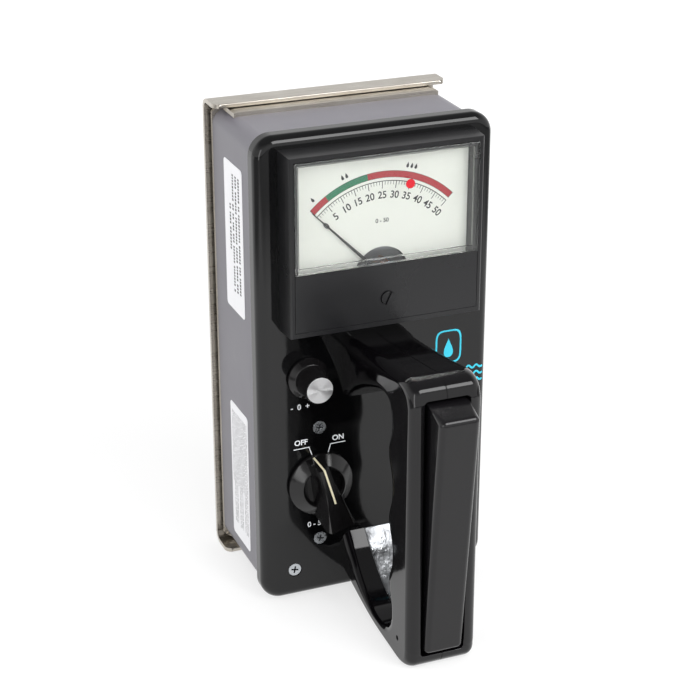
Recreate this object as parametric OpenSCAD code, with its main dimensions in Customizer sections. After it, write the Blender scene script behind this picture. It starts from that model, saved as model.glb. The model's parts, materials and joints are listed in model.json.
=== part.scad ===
// Hand-held capacitance moisture meter for wall board.
// Millimetres. +X is the user's right, +Y points from the front cover to the
// sensor plate, +Z is up. The meter stands on z = 0 on the lower flange of the
// sensor plate and the foot of the handle.
// Inside the modules y = 0 is the face of the front cover.

/* [Front cover] */
// Width of the front cover across its lip
cover_w = 110.2; // [108:0.1:116]
// Height of the front cover
cover_h = 221.2; // [220:0.1:236]
// How far the lip of the cover reaches back over the case
cover_depth = 9.3; // [7:0.1:14]
// Corner radius of the cover outline
cover_r = 9.5; // [7:0.1:14]
// Thickness of the cover's front wall
cover_wall = 3; // [2.4:0.1:4]
// Radius that rolls the front face into the lip
cover_roll = 4.5; // [2:0.1:5]
// Thickness of the lip beside the case
lip_side = 1.7; // [1.2:0.1:2.4]
// Thickness of the lip above and below the case
lip_end = 3.1; // [2.8:0.1:3.6]

/* [Case] */
// Depth from the cover face to the back edge of the case
case_depth = 61.3; // [56:0.1:75]
// Wall of the case
case_wall = 2.6; // [2:0.1:4]
// Corner radius of the case outline
case_r = 7.5; // [5:0.1:9]

/* [Rear pan and sensor plate] */
// Thickness of the stainless sheet of both
sheet_t = 1.9; // [1.2:0.1:2.4]
// Reach of the pan's flanges along the case
pan_reach = 18.7; // [12:0.1:24]
// Width of the sensor plate
plate_w = 111.2; // [104:0.1:124]
// Reach of the plate's folded flanges, front edge to the sensing face
flange_reach = 16; // [13:0.1:20]
// Inside radius of the folds
fold_r = 3.1; // [2:0.1:4]
// Corner radius of the plate's flanges, seen from above
flange_corner = 4; // [2:0.1:8]
// Length of the insulating spacers between pan and plate
spacer_h = 2.4; // [1.6:0.1:6]
// Air left between the flanges of the plate and of the pan
flange_gap = 0.3; // [0.3:0.1:1]

/* [Panel meter] */
// Width of the meter face
meter_w = 89; // [84:0.1:94]
// Height of the meter face
meter_h = 80.5; // [78:0.1:84]
// How far the meter stands out of the cover
meter_out = 12.7; // [11:0.1:16]
// Cover left above the meter
meter_top_gap = 6; // [4:0.1:8]
// Draft of the meter body, from its face back to the cover
meter_draft = 0.7; // [0:0.1:1.5]
// Height of the pointer's pivot above the bottom edge of the meter
pivot_up = 21.4; // [20:0.1:23]
// Sweep of the pointer over the scale
sweep = 90; // [60:1:100]
// Radius of the meter's rear barrel
barrel_r = 31.5; // [28:0.1:33]
// Length of the rear barrel behind the cover face
barrel_len = 26; // [22:0.5:30]
// Radius to the tip of the pointer
pointer_r = 46; // [40:0.1:47]
// Depth of the dial plate behind the meter face
dial_depth = 8.1; // [7:0.1:9]

/* [Knobs] */
// Adjust knob centre, inwards from the cover's left edge
adjust_in = 22.5; // [20:0.1:24]
// Adjust knob centre, below the bottom edge of the meter
adjust_down = 24.5; // [20:0.1:27]
// Skirt radius of the adjust knob
adjust_skirt_r = 9.5; // [9:0.1:11]
// Grip radius of the adjust knob
adjust_grip_r = 6.6; // [6:0.1:7.5]
// Height of the adjust knob above the cover
adjust_h = 15.4; // [13:0.1:18]
// Selector knob centre, inwards from the cover's left edge
selector_in = 27.9; // [26:0.1:30]
// Selector knob centre, height
selector_z = 58.1; // [57:0.1:59]
// Skirt radius of the selector knob
selector_r = 15.2; // [14:0.1:16]
// Height of the selector's pointer bar above the cover
selector_h = 18; // [15:0.1:20]
// Angle between the selector's two positions
selector_step = 30; // [30:15:60]
// Clearance under the knobs
knob_gap = 0.6; // [0.4:0.1:1]
// Radius of both control shafts
shaft_r = 3.175; // [3:0.005:3.3]

/* [Handle] */
// Half width of the handle
handle_hw = 16.2; // [15:0.1:18]
// Gap between the meter and the root of the upper arm
arm_gap = 7.9; // [6:0.1:12]
// Half width of the lever slot
slot_hw = 10; // [9.5:0.1:10.8]
// Lower end of the lever slot
slot_z0 = 6.4; // [6:0.1:8]
// Back of the lever slot, in front of the cover
slot_back = 60.5; // [59:0.1:62]
// Distance between neighbouring finger ridges
ridge_pitch = 30; // [28:0.1:32]
// Height of the finger ridges
ridge_h = 3.9; // [0:0.1:4.5]
// Top finger ridge, below the root of the upper arm
ridge_down = 34.7; // [32:0.1:37]

/* [Squeeze lever] */
// Half width of the lever
lever_hw = 9; // [8.5:0.1:9.4]
// Reach of the lever's top edge in front of the cover at rest
lever_reach = 89.2; // [88:0.1:90]
// Reach of the lever's bottom edge in front of the cover
lever_foot = 78; // [77.5:0.1:79]
// Gap between the top of the lever and the end of its slot
lever_top_gap = 1.5; // [1.5:0.1:2.5]
// Wall of the lever
lever_wall = 2.4; // [2:0.1:3]
// Travel of the lever
lever_travel = 5.2; // [3:0.1:5.2]
// Hinge pin, distance in front of the cover
pin_out = 64.1; // [63.5:0.1:65.5]
// Hinge pin, height
pin_z = 10.7; // [10.5:0.1:12]
// Radius of the hinge pin
pin_r = 1.2; // [1:0.05:1.5]

/* [Fasteners] */
// Radius of the screw heads
screw_head_r = 3.05; // [2.8:0.05:3.4]
// Radius of the screw shanks
screw_r = 1.6; // [1.4:0.05:1.8]
// Inset of the corner screws from the cover's sides
corner_screw_in = 15.5; // [14:0.1:17]
// Inset of the corner screws from the cover's lower edge
corner_screw_up = 14.2; // [13:0.1:16]
// Inset of the panel screws from the cover's sides
panel_screw_in = 28.1; // [26:0.1:30]
// Height of the lower panel screws
panel_screw_low = 29.1; // [27:0.1:31]
// Upper panel screws, above the middle between the two controls
panel_screw_up = 0.7; // [-2:0.1:3]

/* [Hidden] */
$fn = 64;
EPS = 0.01;

// Widths and heights: cover, case, pan and plate share one middle height
lip_clear = 0.1;
case_w = cover_w - 2 * (lip_side + lip_clear);
case_h = cover_h - 2 * (lip_end + lip_clear);
plate_h = case_h + 2 * (2 * sheet_t + flange_gap);
mid_z = plate_h / 2;
case_z = mid_z - case_h / 2;
cover_z = mid_z - cover_h / 2;
case_top = case_z + case_h;
// The meter hangs from the cover's top edge, the controls and the handle from the meter
meter_z = cover_z + cover_h - meter_top_gap - meter_h;
pivot_z = meter_z + pivot_up;
adjust_x = adjust_in - cover_w / 2;
adjust_z = meter_z - adjust_down;
selector_x = selector_in - cover_w / 2;
arm_top = meter_z - arm_gap;
slot_z1 = arm_top;
ridge_z = arm_top - ridge_down;
lever_top = slot_z1 - lever_top_gap;
// Depths
pan_back = case_depth + sheet_t;
plate_y = pan_back + spacer_h;
plate_back = plate_y + sheet_t;
// The model's y = 0 lies midway between the lever's front edge and the sensing face
panel_y = (lever_reach - plate_back) / 2;
// Colours
BLACK = "#1b1b1d";
SATIN = "#35343a";
STEEL = "#a9a69c";
ZINC = "#c9ccd0";
WHITE = "#efefee";
NYLON = "#d9d6c8";
BRASS = "#b08d4a";
COPPER = "#a5643c";
IVORY = "#e8e2c4";

// ---------- shared shapes ----------
// Everything is laid out from the cover's face
module at_panel() { translate([0, panel_y, 0]) children(); }
// Turns an outline drawn in X-Z into a slab from y0 to y1
module slab(y0, y1) {
    translate([0, y1, 0]) rotate([90, 0, 0]) linear_extrude(height = y1 - y0) children();
}
// Round rectangle, centred across, standing on z = 0
module round_rect(w, h, r) {
    for (sx = [-1, 1]) {
        translate([sx * (w / 2 - r), r]) circle(r = r);
        translate([sx * (w / 2 - r), h - r]) circle(r = r);
    }
    translate([-w / 2, r]) square([w, h - 2 * r]);
    translate([-w / 2 + r, 0]) square([w - 2 * r, h]);
}
// Cylinder whose axis runs along Y, from y0 to y1
module rod_y(x, z, r, y0, y1, fn = 48) {
    translate([x, y1, z]) rotate([90, 0, 0]) cylinder(r = r, h = y1 - y0, $fn = fn);
}
// Cone along Y, radius r0 at y0 and r1 at y1
module cone_y(x, z, r0, r1, y0, y1, fn = 48) {
    translate([x, y0, z]) rotate([-90, 0, 0]) cylinder(r1 = r0, r2 = r1, h = y1 - y0, $fn = fn);
}
// Countersunk screw seen from the front, its head's rim at y = 0 and its shank along +Y
module panel_screw(len) {
    difference() {
        union() {
            cone_y(0, 0, screw_head_r, screw_r, 0, screw_head_r - screw_r);
            rod_y(0, 0, screw_head_r, -0.3, 0);
            rod_y(0, 0, screw_r, screw_head_r - screw_r, len, 24);
        }
        for (a = [0, 90]) rotate([0, a + 12, 0])
            translate([-1.7, -0.5, -0.35]) cube([3.4, 1.7, 0.7]);
    }
}

// ---------- places ----------
corner_screw_x = cover_w / 2 - corner_screw_in;
CORNER_SCREWS = [for (sx = [-1, 1]) [sx * corner_screw_x, cover_z + corner_screw_up]];
panel_screw_x = cover_w / 2 - panel_screw_in;
panel_screw_high = (adjust_z + selector_z) / 2 + panel_screw_up;
PANEL_SCREWS = [for (sx = [-1, 1], z = [panel_screw_low, panel_screw_high]) [sx * panel_screw_x, z]];
// Panel screw heads sit this far below the face
head_drop = 0.5;
stud_r = 2;
stud_clear = 0.2;
meter_stud_in = [7, 6];
METER_STUDS = [for (sx = [-1, 1], z = [meter_z + meter_stud_in[1], meter_z + meter_h - meter_stud_in[1]])
    [sx * (meter_w / 2 - meter_stud_in[0]), z]];
// The meter's barrel is centred above its pivot
barrel_up = 13.1;
barrel_z = pivot_z + barrel_up;
barrel_clear = 0.4;
plate_stud_in = [11.7, 21.4];
PLATE_STUDS = [for (sx = [-1, 1], sz = [-1, 1])
    [sx * (case_w / 2 - plate_stud_in[0]), mid_z + sz * (case_h / 2 - plate_stud_in[1])]];
bush_r = 4.7;
bush_clear = 0.1;
run_clear = 0.05;
// Screws that hold the handle's feet, inside the outline of each foot
handle_screw_in = 6.7;
foot_screw_z = 16.5;
arm_screw_down = 12.7;
HANDLE_SCREWS = [for (sx = [-1, 1], z = [foot_screw_z, arm_top - arm_screw_down])
    [sx * (handle_hw - handle_screw_in), z]];
handle_screw_len = 13;
head_t = 1.8;

// ---------- front cover ----------
// Outline of the rolled front edge: a slab of the given breadth whose front corners are round
module rolled_profile(breadth, depth, roll) {
    for (s = [-1, 1]) translate([s * (breadth / 2 - roll), roll]) circle(r = roll);
    translate([-breadth / 2 + roll, 0]) square([breadth - 2 * roll, depth]);
    translate([-breadth / 2, roll]) square([breadth, depth - roll]);
}
// Slab with round corners of radius r and a rolled front edge
module rolled_slab(w, h, r, depth, roll) {
    for (sx = [-1, 1], sz = [-1, 1]) translate([sx * (w / 2 - r), 0, sz * (h / 2 - r)])
        rotate([-90, 0, 0]) rotate_extrude($fn = 96) intersection() {
            rolled_profile(2 * r, depth, roll);
            square([r, depth]);
        }
    translate([0, 0, -h / 2 + r]) linear_extrude(height = h - 2 * r) rolled_profile(w, depth, roll);
    translate([-w / 2 + r, 0, 0]) rotate([0, 90, 0]) linear_extrude(height = w - 2 * r)
        rolled_profile(h, depth, roll);
}
module front_cover() color(BLACK) at_panel() difference() {
    translate([0, 0, mid_z]) rolled_slab(cover_w, cover_h, cover_r, cover_depth, cover_roll);
    // Room for the case inside the lip
    slab(cover_wall, cover_depth + 1) translate([0, case_z - lip_clear])
        round_rect(case_w + 2 * lip_clear, case_h + 2 * lip_clear, case_r + lip_clear);
    // Meter barrel and studs
    rod_y(0, barrel_z, barrel_r + barrel_clear, -1, cover_wall + 1);
    for (p = METER_STUDS) rod_y(p[0], p[1], stud_r + stud_clear, -1, cover_wall + 1, 24);
    // Bushings of the controls
    rod_y(adjust_x, adjust_z, bush_r + bush_clear, -1, cover_wall + 1);
    rod_y(selector_x, selector_z, bush_r + bush_clear, -1, cover_wall + 1);
    // Countersunk screws
    for (p = concat(CORNER_SCREWS, PANEL_SCREWS)) {
        rod_y(p[0], p[1], screw_r + 0.1, -1, cover_wall + 1, 24);
        rod_y(p[0], p[1], screw_head_r + 0.35, -1, head_drop);
        cone_y(p[0], p[1], screw_head_r + 0.1, screw_r + 0.1, head_drop - EPS,
            head_drop + screw_head_r - screw_r);
    }
    for (p = HANDLE_SCREWS) rod_y(p[0], p[1], screw_r + 0.1, -1, cover_wall + 1, 24);
}

// ---------- case ----------
case_front = cover_wall + 0.2;
boss_r = 3.8;
boss_len = 18;
boss_web = 2.4;
jack_y = 40;
jack_z = 40;
jack_r = 3;
jack_bore_r = 1.8;
jack_body = 12;
jack_nut_r = 4.6;
module case_body() color(SATIN) at_panel() difference() {
    union() {
        difference() {
            slab(case_front, case_depth) translate([0, case_z]) round_rect(case_w, case_h, case_r);
            slab(case_front - 1, case_depth - case_wall) translate([0, case_z + case_wall])
                round_rect(case_w - 2 * case_wall, case_h - 2 * case_wall, case_r - case_wall);
        }
        // Bosses for the corner screws, on webs from the lower wall
        for (p = CORNER_SCREWS) {
            rod_y(p[0], p[1], boss_r, case_front, boss_len);
            translate([p[0] - boss_web / 2, case_front, case_z + case_wall - EPS])
                cube([boss_web, boss_len - case_front, p[1] - case_z - case_wall - screw_r]);
        }
    }
    for (p = CORNER_SCREWS) rod_y(p[0], p[1], screw_r, case_front - 1, boss_len - 3, 24);
    // Studs of the sensor plate and the charging jack
    for (p = PLATE_STUDS)
        rod_y(p[0], p[1], stud_r + stud_clear, case_depth - case_wall - 1, case_depth + 1, 24);
    translate([case_w / 2 - case_wall - 1, jack_y, jack_z]) rotate([0, 90, 0])
        cylinder(r = jack_r, h = case_wall + 2);
    // Screws of the battery clamp
    for (sz = [-1, 1]) rod_y(0, battery_z + sz * clamp_screw_dz, screw_r,
        case_depth - case_wall - 1, case_depth + 1, 24);
}

// ---------- rear pan ----------
pan_front = pan_back - pan_reach;
pan_w = case_w + 2 * sheet_t;
pan_h = case_h + 2 * sheet_t;
// Area above the diagonals of the two upper corners, or below those of the lower ones
module pan_sector(s) {
    cx = case_w / 2 - case_r;
    cz = case_h / 2 - case_r;
    reach = case_r + 2 * sheet_t;
    translate([0, mid_z]) scale([1, s]) polygon([[-cx, cz], [cx, cz], [cx + reach, cz + reach],
        [-cx - reach, cz + reach]]);
}
module rear_pan() color(STEEL) at_panel() difference() {
    union() {
        slab(case_depth, pan_back) intersection() {
            translate([0, mid_z - pan_h / 2]) round_rect(pan_w, pan_h, case_r + sheet_t);
            translate([-case_w / 2, 0]) square([case_w, plate_h]);
        }
        // Flanges that hug the top and the bottom of the case and half of each corner
        for (s = [-1, 1]) slab(pan_front, case_depth + EPS) intersection() {
            difference() {
                translate([0, mid_z - pan_h / 2]) round_rect(pan_w, pan_h, case_r + sheet_t);
                translate([0, case_z]) round_rect(case_w, case_h, case_r);
            }
            pan_sector(s);
        }
    }
    for (p = PLATE_STUDS) rod_y(p[0], p[1], stud_r + stud_clear, case_depth - 1, pan_back + 1, 24);
}

// ---------- sensor plate ----------
fold_out = fold_r + sheet_t;
flange_y = plate_back - flange_reach;
// Radius that eases the sheared front edges
edge_ease = 0.4;
// Channel section in Y-Z: web at the back, a flange along the top and the bottom
module channel_section() {
    translate([plate_y, fold_out]) square([sheet_t, plate_h - 2 * fold_out]);
    for (z = [0, plate_h - sheet_t]) {
        translate([flange_y + edge_ease, z])
            square([plate_back - fold_out - flange_y - edge_ease, sheet_t]);
        // Eased front edge
        translate([flange_y, z + edge_ease]) square([2 * edge_ease, sheet_t - 2 * edge_ease]);
        for (dz = [edge_ease, sheet_t - edge_ease])
            translate([flange_y + edge_ease, z + dz]) circle(r = edge_ease, $fn = 24);
    }
    // Folds
    difference() {
        for (s = [0, 1]) translate([plate_back - fold_out, s ? plate_h - fold_out : fold_out])
            circle(r = fold_out);
        for (s = [0, 1]) translate([plate_back - fold_out, s ? plate_h - fold_out : fold_out])
            circle(r = fold_r);
        translate([plate_back - 2 * fold_out - 1, -1]) square([fold_out + 1, plate_h + 2]);
        translate([plate_back - fold_out - 1, fold_out]) square([fold_out + 2, plate_h - 2 * fold_out]);
    }
}
module sensor_plate() color(STEEL) at_panel() difference() {
    translate([-plate_w / 2, 0, 0]) rotate([90, 0, 90]) linear_extrude(height = plate_w)
        channel_section();
    // Corners of the flanges are rounded in plan
    for (sx = [-1, 1]) translate([sx * plate_w / 2, flange_y, -1]) difference() {
        translate([-flange_corner, -flange_corner, 0])
            cube([2 * flange_corner, 2 * flange_corner, plate_h + 2]);
        translate([-sx * flange_corner, flange_corner, -1])
            cylinder(r = flange_corner, h = plate_h + 4);
    }
}
spacer_r = 5;
module plate_spacers() color(NYLON) at_panel() for (p = PLATE_STUDS) difference() {
    rod_y(p[0], p[1], spacer_r, pan_back, plate_y);
    rod_y(p[0], p[1], stud_r + stud_clear, pan_back - 1, plate_y + 1, 24);
}
// Welded studs with their nuts inside the case
nut_t = 3;
nut_r = 4.2;
thread_out = 1.5;
module plate_studs() color(ZINC) at_panel() for (p = PLATE_STUDS) {
    rod_y(p[0], p[1], stud_r, case_depth - case_wall - nut_t - thread_out, plate_y, 24);
    rod_y(p[0], p[1], nut_r, case_depth - case_wall - nut_t, case_depth - case_wall, 6);
}

// ---------- panel meter ----------
meter_face = -meter_out;
dial_y = meter_face + dial_depth;
dial_t = 0.8;
meter_edge = 0.6;
window_in = [1.9, 2];
window_w = meter_w - 2 * window_in[0];
window_z0 = pivot_z + 7.4;
window_z1 = meter_z + meter_h - window_in[1];
window_h = window_z1 - window_z0;
window_rim = 2.2;
window_clear = 0.2;
window_proud = 0.5;
lower_z0 = meter_z + 2.4;
barrel_wall = 2;
// How deep the seat of the window and the lower panel is, and the meter's studs are moulded in
seat_depth = 2.5;
stud_depth = 2;
// One layer of the housing: a thin plate, grown or shrunk all round
module meter_layer(y, grow) {
    translate([-meter_w / 2 - grow, y, meter_z - grow / 2])
        cube([meter_w + 2 * grow, EPS, meter_h + grow]);
}
module meter_housing() color(SATIN) at_panel() difference() {
    union() {
        hull() {
            meter_layer(-EPS, meter_draft);
            meter_layer(meter_face + meter_edge, meter_draft * 0.05);
            meter_layer(meter_face, -meter_edge);
        }
        rod_y(0, barrel_z, barrel_r, -EPS, barrel_len, 96);
    }
    // Opening for the window and the lower panel
    translate([-window_w / 2, meter_face - 1, lower_z0])
        cube([window_w, 1 + seat_depth, window_z1 - lower_z0]);
    // Hollow in front of the dial, and the well behind it
    translate([-window_w / 2 + window_rim, meter_face + 2, lower_z0 + 2])
        cube([window_w - 2 * window_rim, dial_depth + dial_t - 2, window_z1 - window_rim - lower_z0 - 2]);
    rod_y(0, barrel_z, barrel_r - barrel_wall, dial_y, barrel_len - barrel_wall, 96);
    for (p = METER_STUDS) rod_y(p[0], p[1], stud_r, -stud_depth, 1, 24);
}
module meter_window() color([0.85, 0.9, 0.92, 0.35]) at_panel() {
    // Pane, standing a little proud, and the step behind it that fits the opening
    pane_back = 1.7;
    step_in = window_rim + window_clear;
    translate([-window_w / 2 + window_clear, meter_face - window_proud, window_z0 + window_clear])
        cube([window_w - 2 * window_clear, window_proud + pane_back, window_h - 2 * window_clear]);
    translate([-window_w / 2 + step_in, meter_face + pane_back - EPS, window_z0 + step_in])
        cube([window_w - 2 * step_in, 1.2, window_h - 2 * step_in]);
}
module meter_lower_panel() color(BLACK) at_panel() difference() {
    translate([-window_w / 2 + window_clear, meter_face - 0.1, lower_z0 + window_clear])
        cube([window_w - 2 * window_clear, seat_depth + 0.1, window_z0 - lower_z0 - window_clear]);
    rod_y(0, zero_z, zero_r + 0.1, meter_face - 1, meter_face + 4);
}
dial_clear = 0.3;
dial_w = window_w - 2 * (window_rim + dial_clear);
cutout_r = 12.8;
module dial_plate() color(WHITE) at_panel() difference() {
    translate([-dial_w / 2, dial_y, lower_z0 + 2 + dial_clear])
        cube([dial_w, dial_t, window_z1 - window_rim - lower_z0 - 2 - 2 * dial_clear]);
    rod_y(0, pivot_z, cutout_r, dial_y - 1, dial_y + 2);
    // Lower part is cut away round the zero adjuster's fork
    translate([-cutout_r, dial_y - 1, lower_z0]) cube([2 * cutout_r, 3, pivot_z - lower_z0]);
}
// Moving parts of the meter, drawn at the zero end of the scale
needle_y = dial_y - 1.8;
needle_t = 0.3;
tail_r = 4.9;
staff_r = 0.5;
module pointer() color(BLACK) at_panel() translate([0, 0, pivot_z]) rotate([0, -sweep / 2, 0]) {
    // Tapered needle: a thin blade to a fine tip, and its tail with the balance weight
    translate([0, needle_y + needle_t, 0]) rotate([90, 0, 0]) linear_extrude(height = needle_t)
        polygon([[-0.9, 0], [-0.2, pointer_r], [0.2, pointer_r], [0.9, 0], [0.7, -tail_r],
            [-0.7, -tail_r]]);
    rod_y(0, -tail_r, 1.1, needle_y - 0.4, needle_y + 0.7, 24);
    // Hub, and the staff that carries the coil
    rod_y(0, 0, 1.8, needle_y - 0.6, needle_y + 0.9, 32);
    rod_y(0, 0, staff_r, needle_y - 2, coil_y0 + EPS, 24);
}
coil_y0 = dial_y + 3.2;
coil_len = 11;
coil_w = 13;
coil_t = 1.2;
coil_wide = 3.2;
module pointer_coil() color(COPPER) at_panel() translate([0, 0, pivot_z]) rotate([0, -sweep / 2, 0]) {
    difference() {
        translate([-coil_w / 2, coil_y0 + EPS, -coil_wide / 2]) cube([coil_w, coil_len, coil_wide]);
        translate([-coil_w / 2 + coil_t, coil_y0 + coil_t, -coil_wide])
            cube([coil_w - 2 * coil_t, coil_len - 2 * coil_t, 2 * coil_wide]);
    }
    rod_y(0, 0, staff_r, coil_y0 + coil_len, coil_y0 + coil_len + 2.4, 24);
}
// Fixed magnet system: a core inside the coil, a ring round it and the magnet behind
core_r = 4.6;
ring_r = 12.4;
ring_in = coil_w / 2 + 0.8;
post_x = 9.6;
post_r = 1.3;
bridge_y = needle_y - 2.2;
module meter_movement() color("#8d8f92") at_panel() difference() {
    union() {
        rod_y(0, pivot_z, core_r, coil_y0 + 2, coil_y0 + coil_len - 2);
        difference() {
            rod_y(0, pivot_z, ring_r, coil_y0 + 0.5, coil_y0 + coil_len - 0.5, 64);
            rod_y(0, pivot_z, ring_in, coil_y0 - 1, coil_y0 + coil_len + 1, 64);
        }
        // Two stems hold the core where the coil never swings
        for (s = [-1, 1]) translate([-1, coil_y0 + 3, pivot_z + s * (core_r + ring_in) / 2 - 1.6])
            cube([2, 4, 3.2]);
        // Magnet on the barrel's floor, and the pillars to the ring
        rod_y(0, pivot_z, ring_r, coil_y0 + coil_len + 0.8, barrel_len - 2, 64);
        for (a = [45 : 90 : 315]) rotate_about(0, pivot_z, a)
            rod_y(10, 0, 1.1, coil_y0 + coil_len - 1, coil_y0 + coil_len + 2, 24);
        // Front bridge over the hub, on two posts
        for (s = [-1, 1]) rod_y(s * post_x, pivot_z, post_r, bridge_y, coil_y0 + 1, 24);
        translate([-post_x, bridge_y, pivot_z - 1.6]) cube([2 * post_x, 1.2, 3.2]);
    }
    // Bearings of the staff
    rod_y(0, pivot_z, staff_r + run_clear, coil_y0 + coil_len, coil_y0 + coil_len + 3, 24);
    rod_y(0, pivot_z, staff_r + run_clear, needle_y - 3, needle_y, 24);
}
module hairspring() color(BRASS) at_panel() translate([0, dial_y + 1.6, pivot_z]) rotate([90, 0, 0])
    linear_extrude(height = 0.4) spiral(1, 4.4, 3, 0.22);
// Flat spiral band from radius r0 to r1 in the given turns
module spiral(r0, r1, turns, t) {
    steps = turns * 16;
    pts = [for (i = [0 : steps]) let (r = r0 + (r1 - r0) * i / steps, a = 360 * turns * i / steps)
        [r * cos(a), r * sin(a)]];
    back = [for (i = [steps : -1 : 0]) let (r = r0 + (r1 - r0) * i / steps + t, a = 360 * turns * i / steps)
        [r * cos(a), r * sin(a)]];
    polygon(concat(pts, back));
}
zero_z = pivot_z - 8.4;
zero_r = 3.05;
module zero_screw() color(BLACK) at_panel() difference() {
    union() {
        rod_y(0, zero_z, zero_r, meter_face - 0.9, meter_face + 3.6);
        // Eccentric pin that moves the spring's fork
        rod_y(0.9, zero_z, 0.7, meter_face + 3.6 - EPS, dial_y + 2.4, 24);
    }
    rotate_about(0, zero_z, 25) translate([-0.45, meter_face - 2, -zero_r - 1])
        cube([0.9, 2.1, 2 * zero_r + 2]);
}
module rotate_about(x, z, a) {
    translate([x, 0, z]) rotate([0, a, 0]) children();
}
module meter_studs() color(BRASS) at_panel() for (p = METER_STUDS)
    rod_y(p[0], p[1], stud_r, -stud_depth, cover_wall + 7, 24);
module meter_nuts() color(BRASS) at_panel() for (p = METER_STUDS) difference() {
    rod_y(p[0], p[1], 4, cover_wall, cover_wall + nut_t, 6);
    rod_y(p[0], p[1], stud_r, cover_wall - 1, cover_wall + nut_t + 1, 24);
}
// Stick-on mark over the scale, on the pane
dot_place = [9.8, 42.2];
dot_r = 2.1;
dot_t = 0.15;
module set_dot() color("#c9303c") at_panel() rod_y(dot_place[0], pivot_z + dot_place[1], dot_r,
    meter_face - window_proud - dot_t, meter_face - window_proud, 32);

// ---------- adjust knob ----------
knob_nut_t = 2;
module adjust_knob() color(BLACK) at_panel() translate([adjust_x, 0, adjust_z]) difference() {
    union() {
        // Skirt with a sloped shoulder
        rotate([90, 0, 0]) rotate_extrude($fn = 64)
            polygon([[0, knob_gap], [adjust_skirt_r, knob_gap], [adjust_skirt_r, knob_gap + 1.2],
                [adjust_skirt_r - 0.5, knob_gap + 1.7], [adjust_grip_r + 0.9, knob_gap + 3.6],
                [adjust_grip_r + 0.5, knob_gap + 3.8], [0, knob_gap + 3.8]]);
        // Fluted grip
        translate([0, -knob_gap - 3.3, 0]) rotate([90, 0, 0])
            linear_extrude(height = adjust_h - knob_gap - 3.3) fluted(adjust_grip_r, 36, 0.3);
    }
    // Shaft, nut recess and the seat of the cap
    rod_y(0, 0, shaft_r, -adjust_h + 4, 1);
    rod_y(0, 0, 7.6, -knob_gap - knob_nut_t - 0.2, 1);
    rod_y(0, 0, adjust_cap_r, -adjust_h - 1, -adjust_h + 0.7);
}
adjust_cap_r = adjust_grip_r - 0.6;
// Circle with n round-bottomed flutes of the given depth
module fluted(r, n, depth) {
    polygon([for (i = [0 : 4 * n - 1]) let (a = 90 * i / n, k = i % 4,
        rr = k == 0 ? r : (k == 2 ? r - depth : r - depth / 2)) [rr * cos(a), rr * sin(a)]]);
}
module adjust_cap() color("#d5d6d8") at_panel()
    rod_y(adjust_x, adjust_z, adjust_cap_r, -adjust_h - 0.15, -adjust_h + 0.7);
module adjust_shaft() color("#c2c2be") at_panel()
    rod_y(adjust_x, adjust_z, shaft_r, -adjust_h + 4, cover_wall + 6, 32);
// Threaded bushing through the cover with a body behind it
module control_body(x, z, body_r, len) {
    difference() {
        union() {
            rod_y(x, z, bush_r, -knob_nut_t - 0.4, cover_wall + EPS);
            rod_y(x, z, body_r, cover_wall, cover_wall + len);
        }
        rod_y(x, z, shaft_r + run_clear, -knob_nut_t - 2, cover_wall + 6.2, 32);
    }
}
module control_nut(x, z) {
    difference() {
        rod_y(x, z, 7.1, -knob_nut_t, 0, 6);
        rod_y(x, z, bush_r, -knob_nut_t - 1, 1);
    }
}
pot_r = 8.2;
pot_l = 10;
module adjust_pot() color("#6b6f66") at_panel() {
    control_body(adjust_x, adjust_z, pot_r, pot_l);
    // Solder tags
    for (i = [-1 : 1]) translate([adjust_x + i * 4 - 0.75, cover_wall + 4, adjust_z - 13])
        cube([1.5, 0.8, 5.5]);
}
module adjust_nut() color(ZINC) at_panel() control_nut(adjust_x, adjust_z);

// ---------- selector knob ----------
bar_drop = 2;
// The bar's nose face and its tail, from the knob's axis
nose_z = selector_r - 0.6;
tail_z = selector_r + 1.4;
tail_base_z = selector_r - 2;
// Half widths along the bar: place, at the top, at the shoulder, at the foot
BAR = [[nose_z, 1.9, 2.5, 4], [0.35 * selector_r, 2.3, 3.1, 5], [0, 3.1, 4.1, 5.8],
    [-0.31 * selector_r, 4, 4.9, 6.4], [-0.7 * selector_r, 4.8, 5.8, 7], [-tail_z, 5.5, 7.1, 7]];
shoulder_drop = 3;
selector_angle = -selector_step / 2;
// Everything of the knob turns with it; local +Z is the way it points
module selector_place() {
    at_panel() translate([selector_x, 0, selector_z]) rotate([0, selector_angle, 0]) children();
}
// Pointer bar lofted from its foot over the shoulder to the top
module pointer_bar() {
    n = len(BAR);
    // Place along the bar: only the tail of the foot is drawn in
    function along(i, level) = level == 0 && i == n - 1 ? -tail_base_z : BAR[i][0];
    function ring(level, y) = concat(
        [for (i = [0 : n - 1]) [BAR[i][3 - level], y, along(i, level)]],
        [for (i = [n - 1 : -1 : 0]) [-BAR[i][3 - level], y, along(i, level)]]);
    m = 2 * n;
    polyhedron(
        points = concat(ring(0, -knob_gap - 0.5), ring(1, -selector_h + shoulder_drop), ring(2, -selector_h)),
        faces = concat(
            [[for (i = [m - 1 : -1 : 0]) i], [for (i = [0 : m - 1]) 2 * m + i]],
            [for (k = [0, 1], i = [0 : m - 1]) let (j = (i + 1) % m) [k * m + i, (k + 1) * m + j, (k + 1) * m + i]],
            [for (k = [0, 1], i = [0 : m - 1]) let (j = (i + 1) % m) [k * m + i, k * m + j, (k + 1) * m + j]]));
}
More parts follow.
